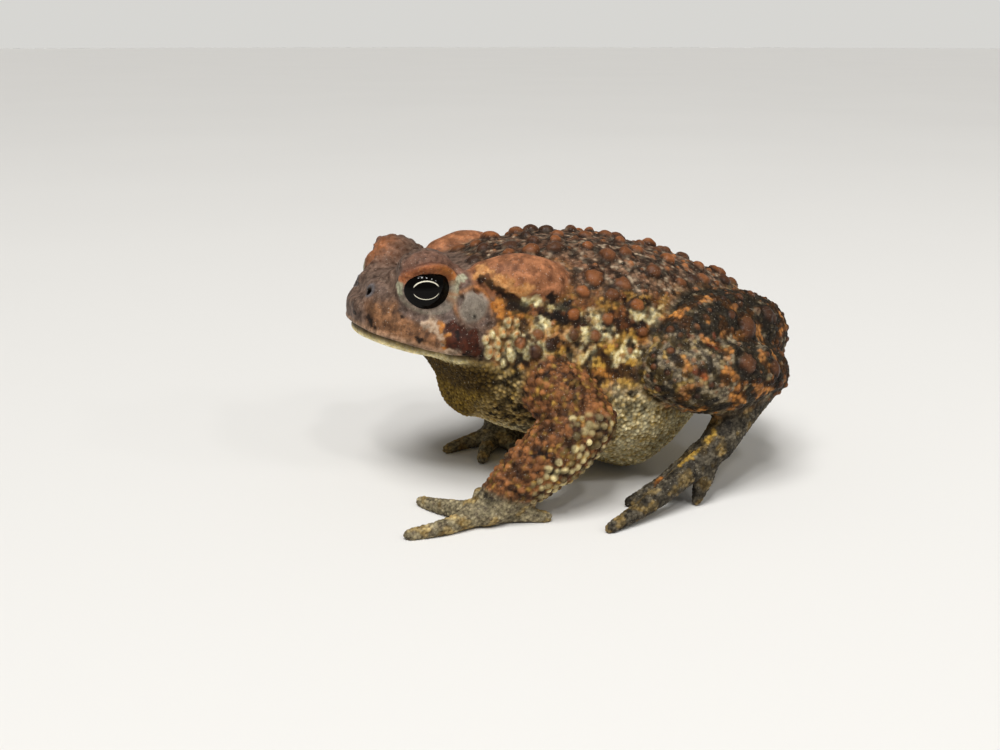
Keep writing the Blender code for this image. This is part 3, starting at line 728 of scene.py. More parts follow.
ochre = daub((
    ((-19.0, -15.9, 38.8), (2.8, 1.8, 1.1)), ((-15.9, -17.0, 37.2), (2.0, 1.8, 1.0)),
    ((-21.3, -13.8, 40.4), (1.6, 1.8, 1.1)), ((-18.5, -17.4, 28.6), (3.6, 2.4, 3.6)),
    ((-14.0, -18.5, 29.8), (3.0, 2.4, 2.8)), ((-8.0, -19.4, 29.6), (2.4, 2.4, 1.6)),
))
orange = daub((
    ((-29.2, -15.0, 31.8), (0.6, 1.4, 0.9)), ((-28.8, -15.7, 29.6), (0.6, 1.6, 1.4)),
    ((-18.9, -15.8, 34.6), (1.0, 1.8, 1.8)), ((-17.2, -16.9, 32.6), (1.5, 1.8, 0.9)),
    ((21.3, -24.1, 27.7), (1.3, 1.6, 1.5)),
    ((16.0, -30.7, 23.0), (1.6, 1.8, 1.2)), ((9.8, -22.3, 31.7), (2.0, 1.8, 0.8)),
    ((24.0, -22.8, 30.4), (2.4, 1.6, 0.8)), ((33.6, -19.2, 24.6), (1.5, 1.6, 1.8)),
    ((18.4, -31.0, 19.6), (1.4, 1.8, 1.2)), ((6.1, -27.0, 3.9), (0.9, 1.2, 0.9)),
))
red = daub((
    ((11.4, -26.0, 29.0), (0.7, 1.2, 0.6)), ((14.9, -27.1, 27.4), (0.8, 1.2, 0.6)),
    ((11.3, -30.2, 23.7), (0.9, 1.4, 1.0)), ((16.0, -25.5, 28.8), (0.7, 1.2, 0.6)),
))
maroon = daub((
    ((-27.2, -15.8, 31.4), (1.3, 1.8, 1.3)), ((-25.9, -16.7, 30.2), (1.7, 1.8, 1.5)),
    ((-25.5, -17.2, 28.3), (1.5, 1.8, 1.3)), ((-27.6, -16.5, 29.5), (1.0, 1.6, 1.2)),
    ((-24.4, -17.2, 30.4), (1.2, 1.8, 1.3)), ((-24.2, -17.4, 27.8), (1.3, 1.8, 1.1)),
))
black = daub((
    ((-10.6, -17.9, 36.0), (1.5, 1.8, 0.6)), ((-11.5, -18.0, 33.0), (1.1, 1.8, 0.9)),
    ((-9.2, -19.0, 31.9), (0.9, 1.8, 0.9)), ((-16.9, -17.7, 30.9), (0.8, 1.8, 0.7)),
    ((-15.9, -29.5, 9.9), (2.4, 2.4, 0.7)), ((-16.8, -28.2, 12.4), (1.5, 2.0, 0.5)),
    ((-8.0, -26.0, 17.5), (1.4, 1.5, 1.0)),
    ((-19.4, -17.6, 27.2), (0.5, 1.8, 0.9)), ((-22.8, -17.2, 27.0), (0.6, 1.4, 1.2)),
    ((-25.4, -17.0, 27.8), (0.4, 1.2, 0.5)), ((-26.8, -16.2, 30.6), (0.5, 1.2, 0.5)),
    ((-39.1, -7.1, 32.4), (0.6, 0.8, 0.35)), ((-38.4, -8.0, 31.5), (0.5, 0.8, 0.4)),
    ((-32.5, -14.0, 30.0), (0.6, 0.8, 0.4)), ((-34.6, -11.0, 33.3), (0.4, 0.8, 0.35)),
    ((-40.8, -3.3, 32.6), (0.5, 0.7, 0.3)), ((-23.9, -15.6, 33.0), (0.5, 1.2, 0.5)),
))
black = np.maximum(black, stroke(((-21.9, -14.4, 39.3), (-19.8, -15.5, 38.0), (-18.2, -15.9, 36.8)), 1.0))
black = np.maximum(black, stroke(((-18.2, -15.9, 36.8), (-16.4, -16.0, 35.4), (-14.8, -16.9, 34.2)), 1.0))
black = np.maximum(black, stroke(((-20.3, -16.3, 21.5), (-16.7, -19.1, 23.4)), 0.5))
print("share of the skin in black patches:", (black > 0.5).mean().round(4))

# %% [markdown]
# ## Patterns of each region
# Colour cells lie in the skin as islands, so a toad's mottles are blotches with firm edges. Each
# pattern here is noise of a known size in mm, cut off at a level: a lower level makes larger blotches.
# A narrow ramp keeps the edge firm, and the product with a region's mask keeps the pattern on that part
# of the body.

# %% Mottles of five sizes, in mm
coarse = mottle(3.2, 1)
middling = mottle(1.9, 2)
small_mottle = mottle(1.1, 3)
fine_mottle = mottle(0.8, 6)
other = mottle(2.4, 4)
print("mottles from", coarse.min().round(2), "to", coarse.max().round(2))

# %% Back and flank
back_dark = spread(rise(0.5 * middling + 0.5 * small_mottle, 0.47, 0.54)) * top
back_warm = spread(rise(other, 0.55, 0.7)) * np.clip(top + gland, 0, 1)
# Pale flecks on the back, which also serve as painted highlights on it.
back_pale = spread(rise(fine_mottle, 0.62, 0.7)) * top
flank_dark = spread(rise(0.6 * middling + 0.4 * small_mottle, 0.57, 0.61)) * flank
flank_pepper = spread(rise(fine_mottle, 0.66, 0.72)) * flank
flank_cream = spread(rise(coarse, 0.56, 0.62)) * flank * rise(-z, -35, -32)
russet = flank * rise(z - 0.1 * x, 27.5, 30.5)
flank_yellow = (1 - 0.7 * russet) * spread(rise(other, 0.5, 0.64)) * flank
print("dark on the back:", (back_dark > 0.5).mean().round(3), "and on the flank:",
      (flank_dark > 0.5).mean().round(3))

# %% Legs, feet and hands
rearward = rise(grain_places[:, 0] + 0.5 * grain_places[:, 2], 26, 38) + rise(grain_places[:, 2], 27, 31)
leg_dark = spread(rise(0.6 * middling + 0.4 * small_mottle + 0.14 * rearward, 0.47, 0.52)) * leg
leg_orange = spread(rise(other, 0.64, 0.7)) * leg * rise(x, 6, 10)
leg_pale = spread(rise(small_mottle, 0.52, 0.58)) * leg * (0.25 + 0.75 * rise(-x - 0.3 * z, -24, -8))
foot_dark = spread(rise(0.5 * middling + 0.5 * fine_mottle, 0.5, 0.56))
foot_dark *= 0.8 * foot + hand * (0.3 + 0.7 * rise(z, 3.0, 6.0))
print("dark on the legs:", (leg_dark > 0.5).mean().round(3))

# %% Arms: brown pebbles in front, cream ones behind
arm_dark = spread(rise(0.6 * middling + 0.4 * small_mottle, 0.55, 0.59)) * arm
behind_arm_line = mirror_places[:, 0] - np.interp(z, (2, 16), (-24.0, -12.0))
rear_arm = rise(behind_arm_line + 1.2 * spread(fine_mottle - 0.5), 0.0, 0.8) * forearm
cream_pebble = pebble * rear_arm * (1 - 0.6 * arm_dark)
pebble = pebble * (1 - rear_arm) * (1 - 0.8 * arm_dark)
small *= 1 - 0.45 * leg
big_wart = wart * (1 - belly)
print("corners on cream pebbles:", int((cream_pebble > 0.5).sum()))

# %% Throat, chest and belly
throat = spread(rise(-mirror_grains[:, 0], 18, 22)) * belly
# The chin mask is painted shade under the jaw: a near-black coat on the top of the throat.
chin = throat * rise(z - 0.25 * (x + 24), 17.6, 20.0)
chest_marks = spread(rise(0.5 * small_mottle + 0.5 * fine_mottle, 0.5, 0.56)) * belly * (1 - throat)
chest_marks *= rise(-x, 6, 11) * rise(side, 6, 10)
chest_gold = belly * rise(-x, 7, 13) * (1 - 0.8 * throat) * rise(z, 10, 14)
belly_dark = spread(rise(small_mottle, 0.62, 0.68)) * belly * (1 - throat) * rise(z, 11, 17)
print("share of the skin that is throat:", throat.mean().round(3))

# %% Head, lips, lids and drums
head_dark = spread(rise(fine_mottle, 0.68, 0.78)) * skull * (0.4 + 0.6 * rise(-z, -37, -34))
muzzle = skull * rise(-z, -36.5, -34.0) * rise(-x, 27.5, 30.5) * (1 - rise(-x, 38.5, 40.5)) * (side > 3)
far_warm = bell(np.linalg.norm(fine_places - (-32.6, 8.4, 41.0), axis=1), 3.2) * skull
nostril_ring = bell(to_nostril - 1.1, 0.4) * skull
# Painted shade along the mouth's crease, where the lips meet.
mouth_line = bell(over_mouth, 0.34) * on_mouth
# The lower lip's edge is pale in colour, brightened almost to white as a painted sheen.
lip_edge = bell(over_mouth + 0.85, 0.5) * on_mouth * rise(-x, 24, 26) * (1 - mouth_line)
upper_lip = bell(over_mouth - 0.85, 0.55) * on_mouth * (1 - mouth_line)
eye_ring = lid_side * rise(-lid_reach, -1.75, -1.35)
lid_margin = upper_lid * bell(lid_reach - 1.05, 0.1)
# Painted shade in the crease above the upper lid's margin.
lid_fold = upper_lid * bell(lid_reach - 1.23, 0.06)
lid_pale = lower_lid * bell(lid_reach - 1.05, 0.07)
drum_rim = bell(drum_reach - 1.16, 0.12) * (drum_reach < 3)
print("corners on the lid's margin:", int((lid_margin > 0.5).sum()))

# %% Cream, yellow, orange and green
cream = np.maximum(cream, 0.85 * flank_cream) * (1 - 0.7 * spread(rise(small_mottle, 0.54, 0.6)))
cream = np.clip(cream + cream_wart, 0, 1) * (1 - wart_tip)
yellow = 0.9 * flank_yellow * (1 - 0.8 * flank_dark)
yellow += spread(rise(other, 0.6, 0.72)) * (0.25 * foot + 0.4 * hand)
yellow += stroke(((8.8, -29.3, 7.6), (12.5, -28.5, 10.0), (16.2, -27.6, 12.4)), 0.8) * (foot + leg)
yellow = np.clip(yellow + 0.7 * leg_pale + 0.5 * arm * spread(rise(fine_mottle, 0.66, 0.76)), 0, 1)
orange = np.clip(orange + 0.9 * leg_orange + wart_tip, 0, 1)
orange = np.maximum(orange, 0.7 * upper_lid * bell(lid_reach - 1.06, 0.07) * rise(lid_across, -0.1, 0.6))
orange = np.clip(orange + 0.5 * drum_rim * rise(drum_up, -0.7, -0.2), 0, 1)
pale_green = np.clip(pale_green * (lid_reach > 1.0) + 0.25 * lid_pale, 0, 1)
for name, values in (("cream", cream), ("yellow", yellow), ("orange", orange)):
    print("share of the skin that is", name, (values > 0.5).mean().round(3))

# %% Everything near black
charcoal = 0.95 * black + 0.9 * flank_dark + 0.8 * flank_pepper + 0.92 * leg_dark + 0.8 * foot_dark
charcoal += 0.75 * arm_dark + 0.4 * hand * rise(z, 3.2, 6.0) + 0.8 * belly_dark + 0.45 * head_dark
# The nostril's term is painted shade in the nostril's pit.
charcoal += 0.8 * back_dark + 0.8 * chest_marks + 1.5 * bell(to_nostril, 0.7) + 0.75 * spine
charcoal = np.clip(charcoal, 0, 1) * (1 - cream_wart) * (1 - 0.9 * lid_margin)
print("share of the skin that is near black:", (charcoal > 0.5).mean().round(3))

# %% Cracks and dryness
smoothness = 1 - 0.85 * np.maximum(np.maximum(wart, small), pebble + cream_pebble)
calm_skin = np.clip(skull + gland + 0.6 * jaw * (1 - belly) + drum + 0.35 * flank, 0, 1)
crack *= smoothness * (1 - 0.8 * calm_skin)
fine_tone = 0.5 + (grain_tone - 0.5) * smoothness * (1 - 0.5 * calm_skin)
dry = np.clip(0.3 + 0.7 * belly + 0.5 * crack, 0, 1) * (1 - 0.8 * np.maximum(wart, small))
print("dryness from", dry.min().round(2), "to", dry.max().round(2))

# %% [markdown]
# ## The skin as one piece
# The shape goes back to metres as one closed mesh, and each painted value goes with it as an attribute,
# so that the material can read it. The piece stands for all the solids of flesh.

# %% Build the skin
MASKS = {
    "back": top, "skull": skull, "jaw": jaw, "gland": gland, "drum": drum, "flank": flank, "belly": belly,
    "throat": throat, "chin": chin, "hand": hand, "arm": arm, "leg": leg, "foot": foot, "cream": cream,
    "yellow": yellow, "orange": orange, "maroon": maroon, "charcoal": charcoal, "pale_green": pale_green,
    "nostril_ring": nostril_ring, "mouth_line": mouth_line, "lip_edge": lip_edge, "upper_lip": upper_lip,
    "big_wart": big_wart, "small_wart": small, "pebble": pebble, "cream_pebble": cream_pebble,
    "wart_tone": wart_tone, "ring": ring, "crack": crack, "grain_tone": fine_tone,
    "upper_lid": upper_lid * (lid_reach < 2.0), "beige": beige, "ochre": ochre, "red": red,
    "muzzle": muzzle, "eye_ring": eye_ring, "warm": back_warm, "back_pale": back_pale,
    "far_warm": far_warm, "chest_gold": chest_gold, "dry": dry, "russet": russet,
    "lid_margin": lid_margin, "lid_fold": lid_fold,
}


def closed_mesh(name, places, faces, masks):
    """A piece from places in mm and lists of corners, with one attribute for each mask."""
    mesh = bpy.data.meshes.new(name)
    mesh.from_pydata(metres(places).tolist(), [], faces)
    mesh.polygons.foreach_set("use_smooth", np.ones(len(faces), bool))
    for mask, values in masks.items():
        layer = mesh.attributes.new(mask, "FLOAT", "POINT")
        layer.data.foreach_set("value", np.asarray(values, np.float32))
    piece = bpy.data.objects.new(name, mesh)
    bpy.context.scene.collection.objects.link(piece)
    return piece


softened = evened(np.stack(list(MASKS.values()), axis=1), 1, 0.5)
skin = closed_mesh("skin", shaped, quads.tolist(), dict(zip(MASKS, softened.T)))
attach(skin, "root")
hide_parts(*FLESH)
print("the skin carries", len(MASKS), "masks")

# %% [markdown]
# ## Colours and nodes
# Colours are written as sRGB hex, as a painter would pick them from the animal, and one function makes
# them linear. One more function adds a node with its settings and links, and every material is made
# with it.

# %% Helpers for materials
def linear(colour):
    """Linear values, with full opacity, of a colour in sRGB hex."""
    parts = [int(colour[place:place + 2], 16) / 255 for place in (1, 3, 5)]
    return [part / 12.92 if part <= 0.04045 else ((part + 0.055) / 1.055) ** 2.4 for part in parts] + [1.0]


def add_node(material, kind, settings=None, inputs=None):
    """Adds a node. An input takes a value, an output to link, or a node whose first output is linked."""
    node = material.node_tree.nodes.new("ShaderNode" + kind)
    for name, value in (settings or {}).items():
        setattr(node, name, value)
    for name, value in (inputs or {}).items():
        if isinstance(value, bpy.types.Node):
            value = value.outputs[0]
        if isinstance(value, bpy.types.NodeSocket):
            material.node_tree.links.new(value, node.inputs[name])
        else:
            node.inputs[name].default_value = value
    return node


def new_material(name):
    material = bpy.data.materials.new(name)
    material.use_nodes = True
    material.node_tree.nodes.clear()
    return material


def finish_material(material, shader):
    add_node(material, "OutputMaterial", inputs={"Surface": shader})
    return material


print("middle grey #808080 is", round(linear("#808080")[0], 3), "in linear light")

# %% [markdown]
# ## Toad skin
# The hide is grown, not made: dry, horny granules over darker skin. The granules spread the light, so
# the gloss is low and broken, and only the tops of the warts have a soft gleam. The paint is laid in
# layers, as the animal's own colour cells lie: the ground of each region first, then mottles, then
# warts with painted shade round their feet, and last the dark of the cracks, which is darker skin with
# painted shade in the crevices. Each layer has two near colours that mix over a grain of a given size in
# mm.

# %% The layers of paint
# Each row has the mask, the light and the dark colour, the size of the grain in mm and the strength. The
# grain of real skin is a tenth of a millimetre or less; it is drawn 0.5 to 1.7 mm wide so that it shows.
GROUND = ("#8c6c54", "#38291f", 1.3)
LAYERS = (
    ("skull", "#745e50", "#44332a", 1.0, 1.0),
    ("far_warm", "#b06c40", "#84502c", 0.8, 0.9),
    ("muzzle", "#926644", "#503624", 1.2, 0.85),
    ("jaw", "#9c8450", "#6a5428", 0.9, 0.8),
    ("gland", "#b27650", "#6e4630", 1.7, 1.0),
    ("warm", "#85573a", "#5e3824", 1.2, 0.5),
    ("back_pale", "#b8a68c", "#957e66", 0.9, 0.75),
    ("flank", "#c0823c", "#76461e", 1.1, 1.0),
    ("russet", "#683c20", "#361d0d", 1.0, 0.9),
    ("belly", "#f0e4b8", "#bb9c56", 1.2, 1.0),
    # The throat's olive gold is its own colour, darkened as painted shade under the head.
    ("throat", "#8f7430", "#4a3a12", 1.0, 1.0),
    # Painted shade under the jaw.
    ("chin", "#2e200c", "#140d03", 1.0, 0.95),
    ("chest_gold", "#cda653", "#8f6c2a", 1.0, 0.7),
    ("arm", "#8a5a34", "#462a18", 1.2, 1.0),
    ("leg", "#8e8066", "#463c32", 1.0, 1.0),
    ("foot", "#6e6554", "#302b22", 0.8, 1.0),
    ("hand", "#b0a27e", "#5c5140", 0.8, 1.0),
    ("eye_ring", "#72625a", "#4e423c", 0.7, 0.85),
    ("upper_lid", "#82604f", "#553c31", 0.8, 1.0),
    ("lid_fold", "#5c3528", "#43261c", 0.7, 0.75),
    ("lid_margin", "#b87448", "#8a4c2e", 0.7, 0.95),
    ("drum", "#8f8476", "#6a6056", 0.8, 1.0),
    ("upper_lip", "#b8967a", "#8a6a50", 0.6, 0.8),
    ("ochre", "#d09a62", "#a8703c", 0.9, 0.85),
    ("yellow", "#dcb458", "#b48a32", 0.8, 0.85),
    ("orange", "#c4823c", "#9c5c20", 0.8, 0.85),
    ("red", "#8c3c22", "#682814", 0.6, 0.8),
    ("beige", "#b29c84", "#957a60", 0.7, 0.9),
    ("cream", "#e6dcb0", "#bca66a", 0.7, 1.0),
    ("maroon", "#4a2010", "#240e07", 0.8, 0.94),
    ("pale_green", "#b0ae92", "#84816a", 0.6, 0.9),
    ("nostril_ring", "#6c7278", "#53565c", 0.5, 0.6),
    ("lip_edge", "#fff4c8", "#eed68e", 0.5, 0.95),
    ("charcoal", "#100c0a", "#060504", 0.8, 0.96),
)
WART_LAYERS = (
    ("small_wart", "#a0663c", "#3c261a", 0.9),
    ("pebble", "#a0683c", "#4a2e1f", 0.9),
    ("cream_pebble", "#dccb94", "#5c4c2c", 0.9),
    ("big_wart", "#9e6036", "#34241c", 0.95),
)
hide = new_material("toad_hide_of_horny_granules")
body = add_node(hide, "TexCoord").outputs["Object"]
masks_read = {}
for name in MASKS:
    masks_read[name] = add_node(hide, "Attribute", {"attribute_name": name}).outputs["Fac"]
COLOUR_MIX = {"data_type": "RGBA", "blend_type": "MIX"}
COLOUR_TIMES = {"data_type": "RGBA", "blend_type": "MULTIPLY"}
print("masks read by the hide:", len(masks_read))


# %% A colour with a grain, and a coat over the paint so far
def two_colours(light, dark, size):
    """Two near colours mixed over a grain of the given size in mm."""
    grain_noise = add_node(hide, "TexNoise", inputs={
        "Vector": body, "Scale": 1 / (size * MM), "Detail": 3.0, "Roughness": 0.6})
    sharper = add_node(hide, "MapRange", inputs={
        "Value": grain_noise, "From Min": 0.35, "From Max": 0.65})
    paint = add_node(hide, "Mix", COLOUR_MIX, {0: sharper, 6: linear(light), 7: linear(dark)})
    return paint.outputs[2]


def painted_over(below, mask_name, strength, above):
    """Lays a coat over the paint so far, where the named mask is and as thick as the strength says."""
    share = add_node(hide, "Math", {"operation": "MULTIPLY", "use_clamp": True}, {
        0: masks_read[mask_name], 1: strength})
    coat = add_node(hide, "Mix", COLOUR_MIX, {0: share, 6: below, 7: above})
    return coat.outputs[2]


print("the ground's grain is", GROUND[2], "mm wide")

# %% Lay the coats
colour = two_colours(*GROUND)
for name, light, dark, size, strength in LAYERS:
    colour = painted_over(colour, name, strength, two_colours(light, dark, size))
for name, light, dark, strength in WART_LAYERS:
    own_tone = add_node(hide, "Mix", COLOUR_MIX, {
        0: masks_read["wart_tone"], 6: linear(dark), 7: linear(light)})
    colour = painted_over(colour, name, strength, own_tone.outputs[2])
# Painted shade round the foot of every wart.
colour = painted_over(colour, "ring", 0.7, linear("#17100c"))
# Painted shade in the mouth's crease.
colour = painted_over(colour, "mouth_line", 0.95, linear("#1c110b"))
print("coats:", len(LAYERS) + len(WART_LAYERS) + 2)

# %% Weathering, and dark cracks with painted shade
WEATHER_SIZE = 1.6
tone = add_node(hide, "MapRange", inputs={
    "Value": masks_read["grain_tone"], "To Min": 0.7, "To Max": 1.3})
toned = add_node(hide, "Mix", COLOUR_TIMES, {0: 1.0, 6: colour, 7: tone})
weather = add_node(hide, "TexNoise", inputs={
    "Vector": body, "Scale": 1 / (WEATHER_SIZE * MM), "Detail": 5.0})
weathered = add_node(hide, "MapRange", inputs={
    "Value": weather, "From Min": 0.3, "From Max": 0.7, "To Min": 0.72, "To Max": 1.28})
worn = add_node(hide, "Mix", COLOUR_TIMES, {0: 1.0, 6: toned.outputs[2], 7: weathered})
# The cracks between the granules: darker skin with painted shade in the crevices.
colour = painted_over(worn.outputs[2], "crack", 0.75, linear("#110c09"))
print("weathering is", WEATHER_SIZE, "mm wide")

# %% Fine specks
# Single colour cells are a few hundredths of a millimetre wide; the specks are 0.28 mm so that they show.
SPECK_SIZE = 0.28
fleck = add_node(hide, "TexNoise", inputs={"Vector": body, "Scale": 1 / (SPECK_SIZE * MM), "Detail": 2.0})
pepper = add_node(hide, "MapRange", inputs={
    "Value": fleck, "From Min": 0.62, "From Max": 0.72, "To Max": 0.55})
peppered = add_node(hide, "Mix", COLOUR_MIX, {0: pepper, 6: colour, 7: linear("#241c17")})
# The pale specks are partly keratin flecks and partly painted glints of wet skin.
salt = add_node(hide, "MapRange", inputs={
    "Value": fleck, "From Min": 0.34, "From Max": 0.26, "To Max": 0.35})
salted = add_node(hide, "Mix", COLOUR_MIX, {0: salt, 6: peppered.outputs[2], 7: linear("#cfc6b4")})
print("specks are", SPECK_SIZE, "mm wide")

# %% Gloss of the hide
# Horn has a roughness of about 0.4, and dry skin one of about 0.8: the warts take the first and the belly
# the second. The specular level is low, because light along the throat's granules would turn them grey.
bump = add_node(hide, "Bump", inputs={"Height": fleck, "Strength": 0.35, "Distance": 0.06 * MM})
dryness = add_node(hide, "MapRange", inputs={"Value": masks_read["dry"], "To Min": 0.36, "To Max": 0.85})
hide_shader = add_node(hide, "BsdfPrincipled", inputs={
    "Base Color": salted.outputs[2], "Roughness": dryness, "Normal": bump,
    "Specular IOR Level": 0.1})
skin.data.materials.append(finish_material(hide, hide_shader))
print("nodes in the hide:", len(hide.node_tree.nodes))

# %% [markdown]
# ## Eyes
# The eye is a ball that fills its socket: a near-black iris behind a wet, clear front, with a level
# oval pupil that a thin line of gold goes round above and below. A ball on a fine grid, a little
# flatter in front, gives the highlights their shape, and the gold is painted by the distance from the
# pupil's middle.

# %% Faces of a ball
RINGS = 64
SIDES = 96


def ball_faces():
    """Squares between the rings, then the triangles round the front and the rear pole."""
    faces = []
    for ring in range(RINGS - 2):
        start = 1 + ring * SIDES
        for number in range(SIDES):
            here = start + number
            following = start + (number + 1) % SIDES
            faces.append((here, here + SIDES, following + SIDES, following))
    last = 1 + (RINGS - 1) * SIDES
    for number in range(SIDES):
        faces.append((0, 1 + number, 1 + (number + 1) % SIDES))
        faces.append((last, last - SIDES + (number + 1) % SIDES, last - SIDES + number))
    return faces


print("faces of a ball:", len(ball_faces()))

# %% Eyeballs
PUPIL = (2.2, 1.5)
GAZE = np.array((-0.185, -0.978, 0.098))
FLATTENING = 0.06
eye_material = new_material("wet_clear_eye_over_black_iris")


def eyeball(name, mirror):
    """A ball that looks along the gaze; mirror is 1 for the left eye and -1 for the right one."""
    gaze = GAZE / np.linalg.norm(GAZE)
    across = np.cross((0, 0, 1), gaze)
    across /= np.linalg.norm(across)
    upward = np.cross(gaze, across)
    ring_tilts = np.linspace(0, math.pi, RINGS + 1)[1:-1]
    ring_turns = np.linspace(0, 2 * math.pi, SIDES, endpoint=False)
    tilt = np.concatenate([[0], np.repeat(ring_tilts, SIDES), [math.pi]])
    turn = np.concatenate([[0], np.tile(ring_turns, RINGS - 1), [0]])
    outward = np.stack([np.sin(tilt) * np.cos(turn), np.sin(tilt) * np.sin(turn), np.cos(tilt)], axis=1)
    local = outward * (BALL_RADIUS - FLATTENING * bell(tilt, 0.8))[:, None]
    places = local[:, :1] * across + local[:, 1:2] * upward + local[:, 2:] * gaze
    places = places * (1, mirror, 1) + ball_centre[mirror]
    faces = ball_faces()
    if mirror < 0:
        faces = [tuple(reversed(face)) for face in faces]
    piece = closed_mesh(name, places, faces, {
        "across": local[:, 0] / PUPIL[0],
        "upward": local[:, 1] / PUPIL[1],
        "front": rise(local[:, 2], 0, 0.5),
    })
    piece.data.materials.append(eye_material)
    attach(piece, "root")
    return piece


eye_left = eyeball("wet_eye_left", 1)
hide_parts("eye_left")
eye_right = eyeball("wet_eye_right", -1)
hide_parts("eye_right")
print("eyeballs at", ball_centre[1].round(1), "and", ball_centre[-1].round(1), "mm")

# %% Line of gold round the pupil
# The distance from an oval is 0 on the pupil's border; the line is thinner below and fades at both ends.
eye_masks = {}
for name in ("across", "upward", "front"):
    mask_node = add_node(eye_material, "Attribute", {"attribute_name": name})
    eye_masks[name] = mask_node.outputs["Fac"]
spot = add_node(eye_material, "CombineXYZ", inputs={"X": eye_masks["across"], "Y": eye_masks["upward"]})
reach = add_node(eye_material, "VectorMath", {"operation": "LENGTH"}, {0: spot})
off_oval = add_node(eye_material, "Math", {"operation": "SUBTRACT"}, {0: reach.outputs["Value"], 1: 1.0})
distance_off = add_node(eye_material, "Math", {"operation": "ABSOLUTE"}, {0: off_oval})
level = add_node(eye_material, "Math", {"operation": "ABSOLUTE"}, {0: eye_masks["upward"]})
tapered = add_node(eye_material, "Math", {"operation": "MULTIPLY_ADD"}, {0: level, 1: 0.6, 2: 0.35})
is_below = add_node(eye_material, "Math", {"operation": "LESS_THAN"}, {0: eye_masks["upward"], 1: 0.0})
thinner_below = add_node(eye_material, "Math", {"operation": "MULTIPLY_ADD"}, {
    0: is_below, 1: -0.3, 2: 1.0})
line_width = add_node(eye_material, "Math", {"operation": "MULTIPLY"}, {0: tapered, 1: thinner_below})
off_line = add_node(eye_material, "Math", {"operation": "DIVIDE"}, {0: distance_off, 1: line_width})
on_line = add_node(eye_material, "MapRange", inputs={
    "Value": off_line, "From Min": 0.085, "From Max": 0.035})
not_at_ends = add_node(eye_material, "MapRange", inputs={
    "Value": level, "From Min": 0.30, "From Max": 0.55})
gold_line = add_node(eye_material, "Math", {"operation": "MULTIPLY"}, {0: on_line, 1: not_at_ends})
gold_share = add_node(eye_material, "Math", {"operation": "MULTIPLY"}, {
    0: gold_line, 1: eye_masks["front"]})
print("the pupil is", 2 * PUPIL[0], "by", 2 * PUPIL[1], "mm")

# %% Iris and wet front
# A wet front is as smooth as glass. Tears have an IOR of 1.33; at 1.2 the sky's image is weak enough for
# the iris to stay black beside the lamps' sharp glints. The strands of the iris are 0.5 mm apart.
eye_body = add_node(eye_material, "TexCoord").outputs["Object"]
iris_noise = add_node(eye_material, "TexNoise", inputs={
    "Vector": eye_body, "Scale": 1 / (0.5 * MM), "Detail": 4.0})
iris = add_node(eye_material, "Mix", COLOUR_MIX, {
    0: iris_noise, 6: linear("#020202"), 7: linear("#0a0705")})
painted_eye = add_node(eye_material, "Mix", COLOUR_MIX, {
    0: gold_share, 6: iris.outputs[2], 7: linear("#e2dcc6")})
eye_shader = add_node(eye_material, "BsdfPrincipled", inputs={
    "Base Color": painted_eye.outputs[2], "Roughness": 0.03, "IOR": 1.2})
finish_material(eye_material, eye_shader)
print("nodes in the eye:", len(eye_material.node_tree.nodes))

# %% [markdown]
# ## Floor and light
# The animal sat under a bright, overcast sky. A broad sun of 28 degrees gives that soft light from
# above and the shadow beneath. Five small lamps stand where they mirror in the eye as its row of
# glints, and are too weak to draw shadows of their own. The floor is plain pale paper, and the
# surrounding is as bright near the horizon as the floor is, so that hardly an edge shows.

# %% Floor
bpy.ops.mesh.primitive_circle_add(vertices=96, radius=6.0, fill_type="NGON")
floor = bpy.context.object
floor.name = "floor"
# The fibres of uncoated paper spread all the light, so it has no gloss, only a faint cloudiness.
floor_material = new_material("matt_pale_paper")
floor_noise = add_node(floor_material, "TexNoise", inputs={"Scale": 60.0})
floor_colour = add_node(floor_material, "Mix", COLOUR_MIX, {
    0: floor_noise, 6: linear("#d9d7d3"), 7: linear("#dddbd7")})
floor_shader = add_node(floor_material, "BsdfPrincipled", inputs={
    "Base Color": floor_colour.outputs[2], "Roughness": 0.9})
floor.data.materials.append(finish_material(floor_material, floor_shader))
print("the floor is", floor.dimensions.x, "m wide")

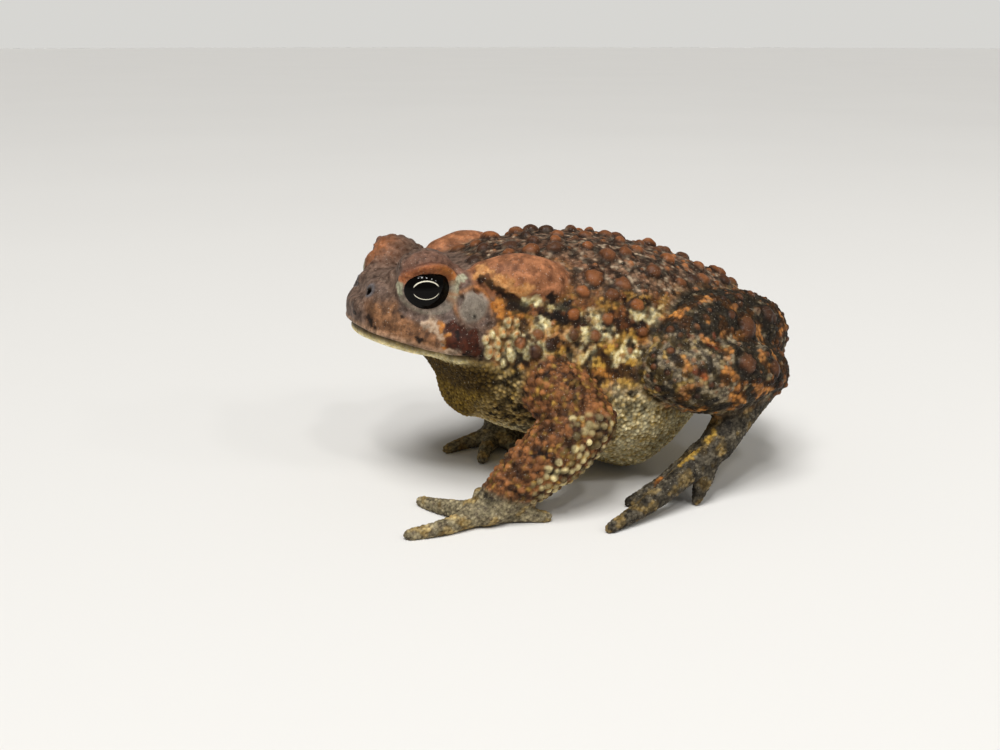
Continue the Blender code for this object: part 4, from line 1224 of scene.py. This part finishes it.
# %% Surrounding
world = bpy.data.worlds.new("surrounding")
bpy.context.scene.world = world
world.use_nodes = True
SKY_STRENGTH = 0.25
HORIZON_STRENGTH = 0.765
way = add_node(world, "TexCoord").outputs["Generated"]
height_of_way = add_node(world, "SeparateXYZ", inputs={0: way}).outputs["Z"]
strength_of_way = add_node(world, "MapRange", inputs={
    "Value": height_of_way, "From Min": 0.05, "From Max": 0.18,
    "To Min": HORIZON_STRENGTH, "To Max": SKY_STRENGTH})
background = world.node_tree.nodes["Background"]
background.inputs["Color"].default_value = linear("#f2f1ed")
world.node_tree.links.new(strength_of_way.outputs[0], background.inputs["Strength"])
print("strength near the horizon", HORIZON_STRENGTH, "and above", SKY_STRENGTH)

# %% Bright sky
sun = bpy.data.lights.new("bright_sky", "SUN")
sun.energy = 2.4
sun.angle = math.radians(28)
sun_stand = bpy.data.objects.new("bright_sky", sun)
sun_stand.rotation_euler = Vector((-0.35, -0.30, 1.0)).to_track_quat("Z", "Y").to_euler()
bpy.context.scene.collection.objects.link(sun_stand)
print("the sky's light is", round(math.degrees(sun.angle)), "degrees wide")

# %% Lamps for the glints
# Each row has the place and the width in metres and the power in watts. All point at the body's middle.
BODY_MIDDLE = Vector((0, 0, 0.02))
LIGHTS = (
    ("left_lamp", (-0.25, -0.50, 0.72), 0.08, 1.5),
    ("right_lamp", (0.00, -0.58, 0.70), 0.07, 1.0),
    ("front_lamp", (-0.42, -0.42, 0.66), 0.055, 0.5),
    ("rear_lamp", (0.30, -0.62, 0.62), 0.06, 0.6),
    ("side_lamp", (0.52, -0.60, 0.50), 0.055, 0.4),
)
for name, place, size, power in LIGHTS:
    lamp = bpy.data.lights.new(name, "AREA")
    lamp.size = size
    lamp.energy = power
    stand_of_lamp = bpy.data.objects.new(name, lamp)
    stand_of_lamp.location = place
    stand_of_lamp.rotation_euler = (Vector(place) - BODY_MIDDLE).to_track_quat("Z", "Y").to_euler()
    bpy.context.scene.collection.objects.link(stand_of_lamp)
bpy.context.scene.view_settings.view_transform = "Standard"
print("lamps:", len(LIGHTS))
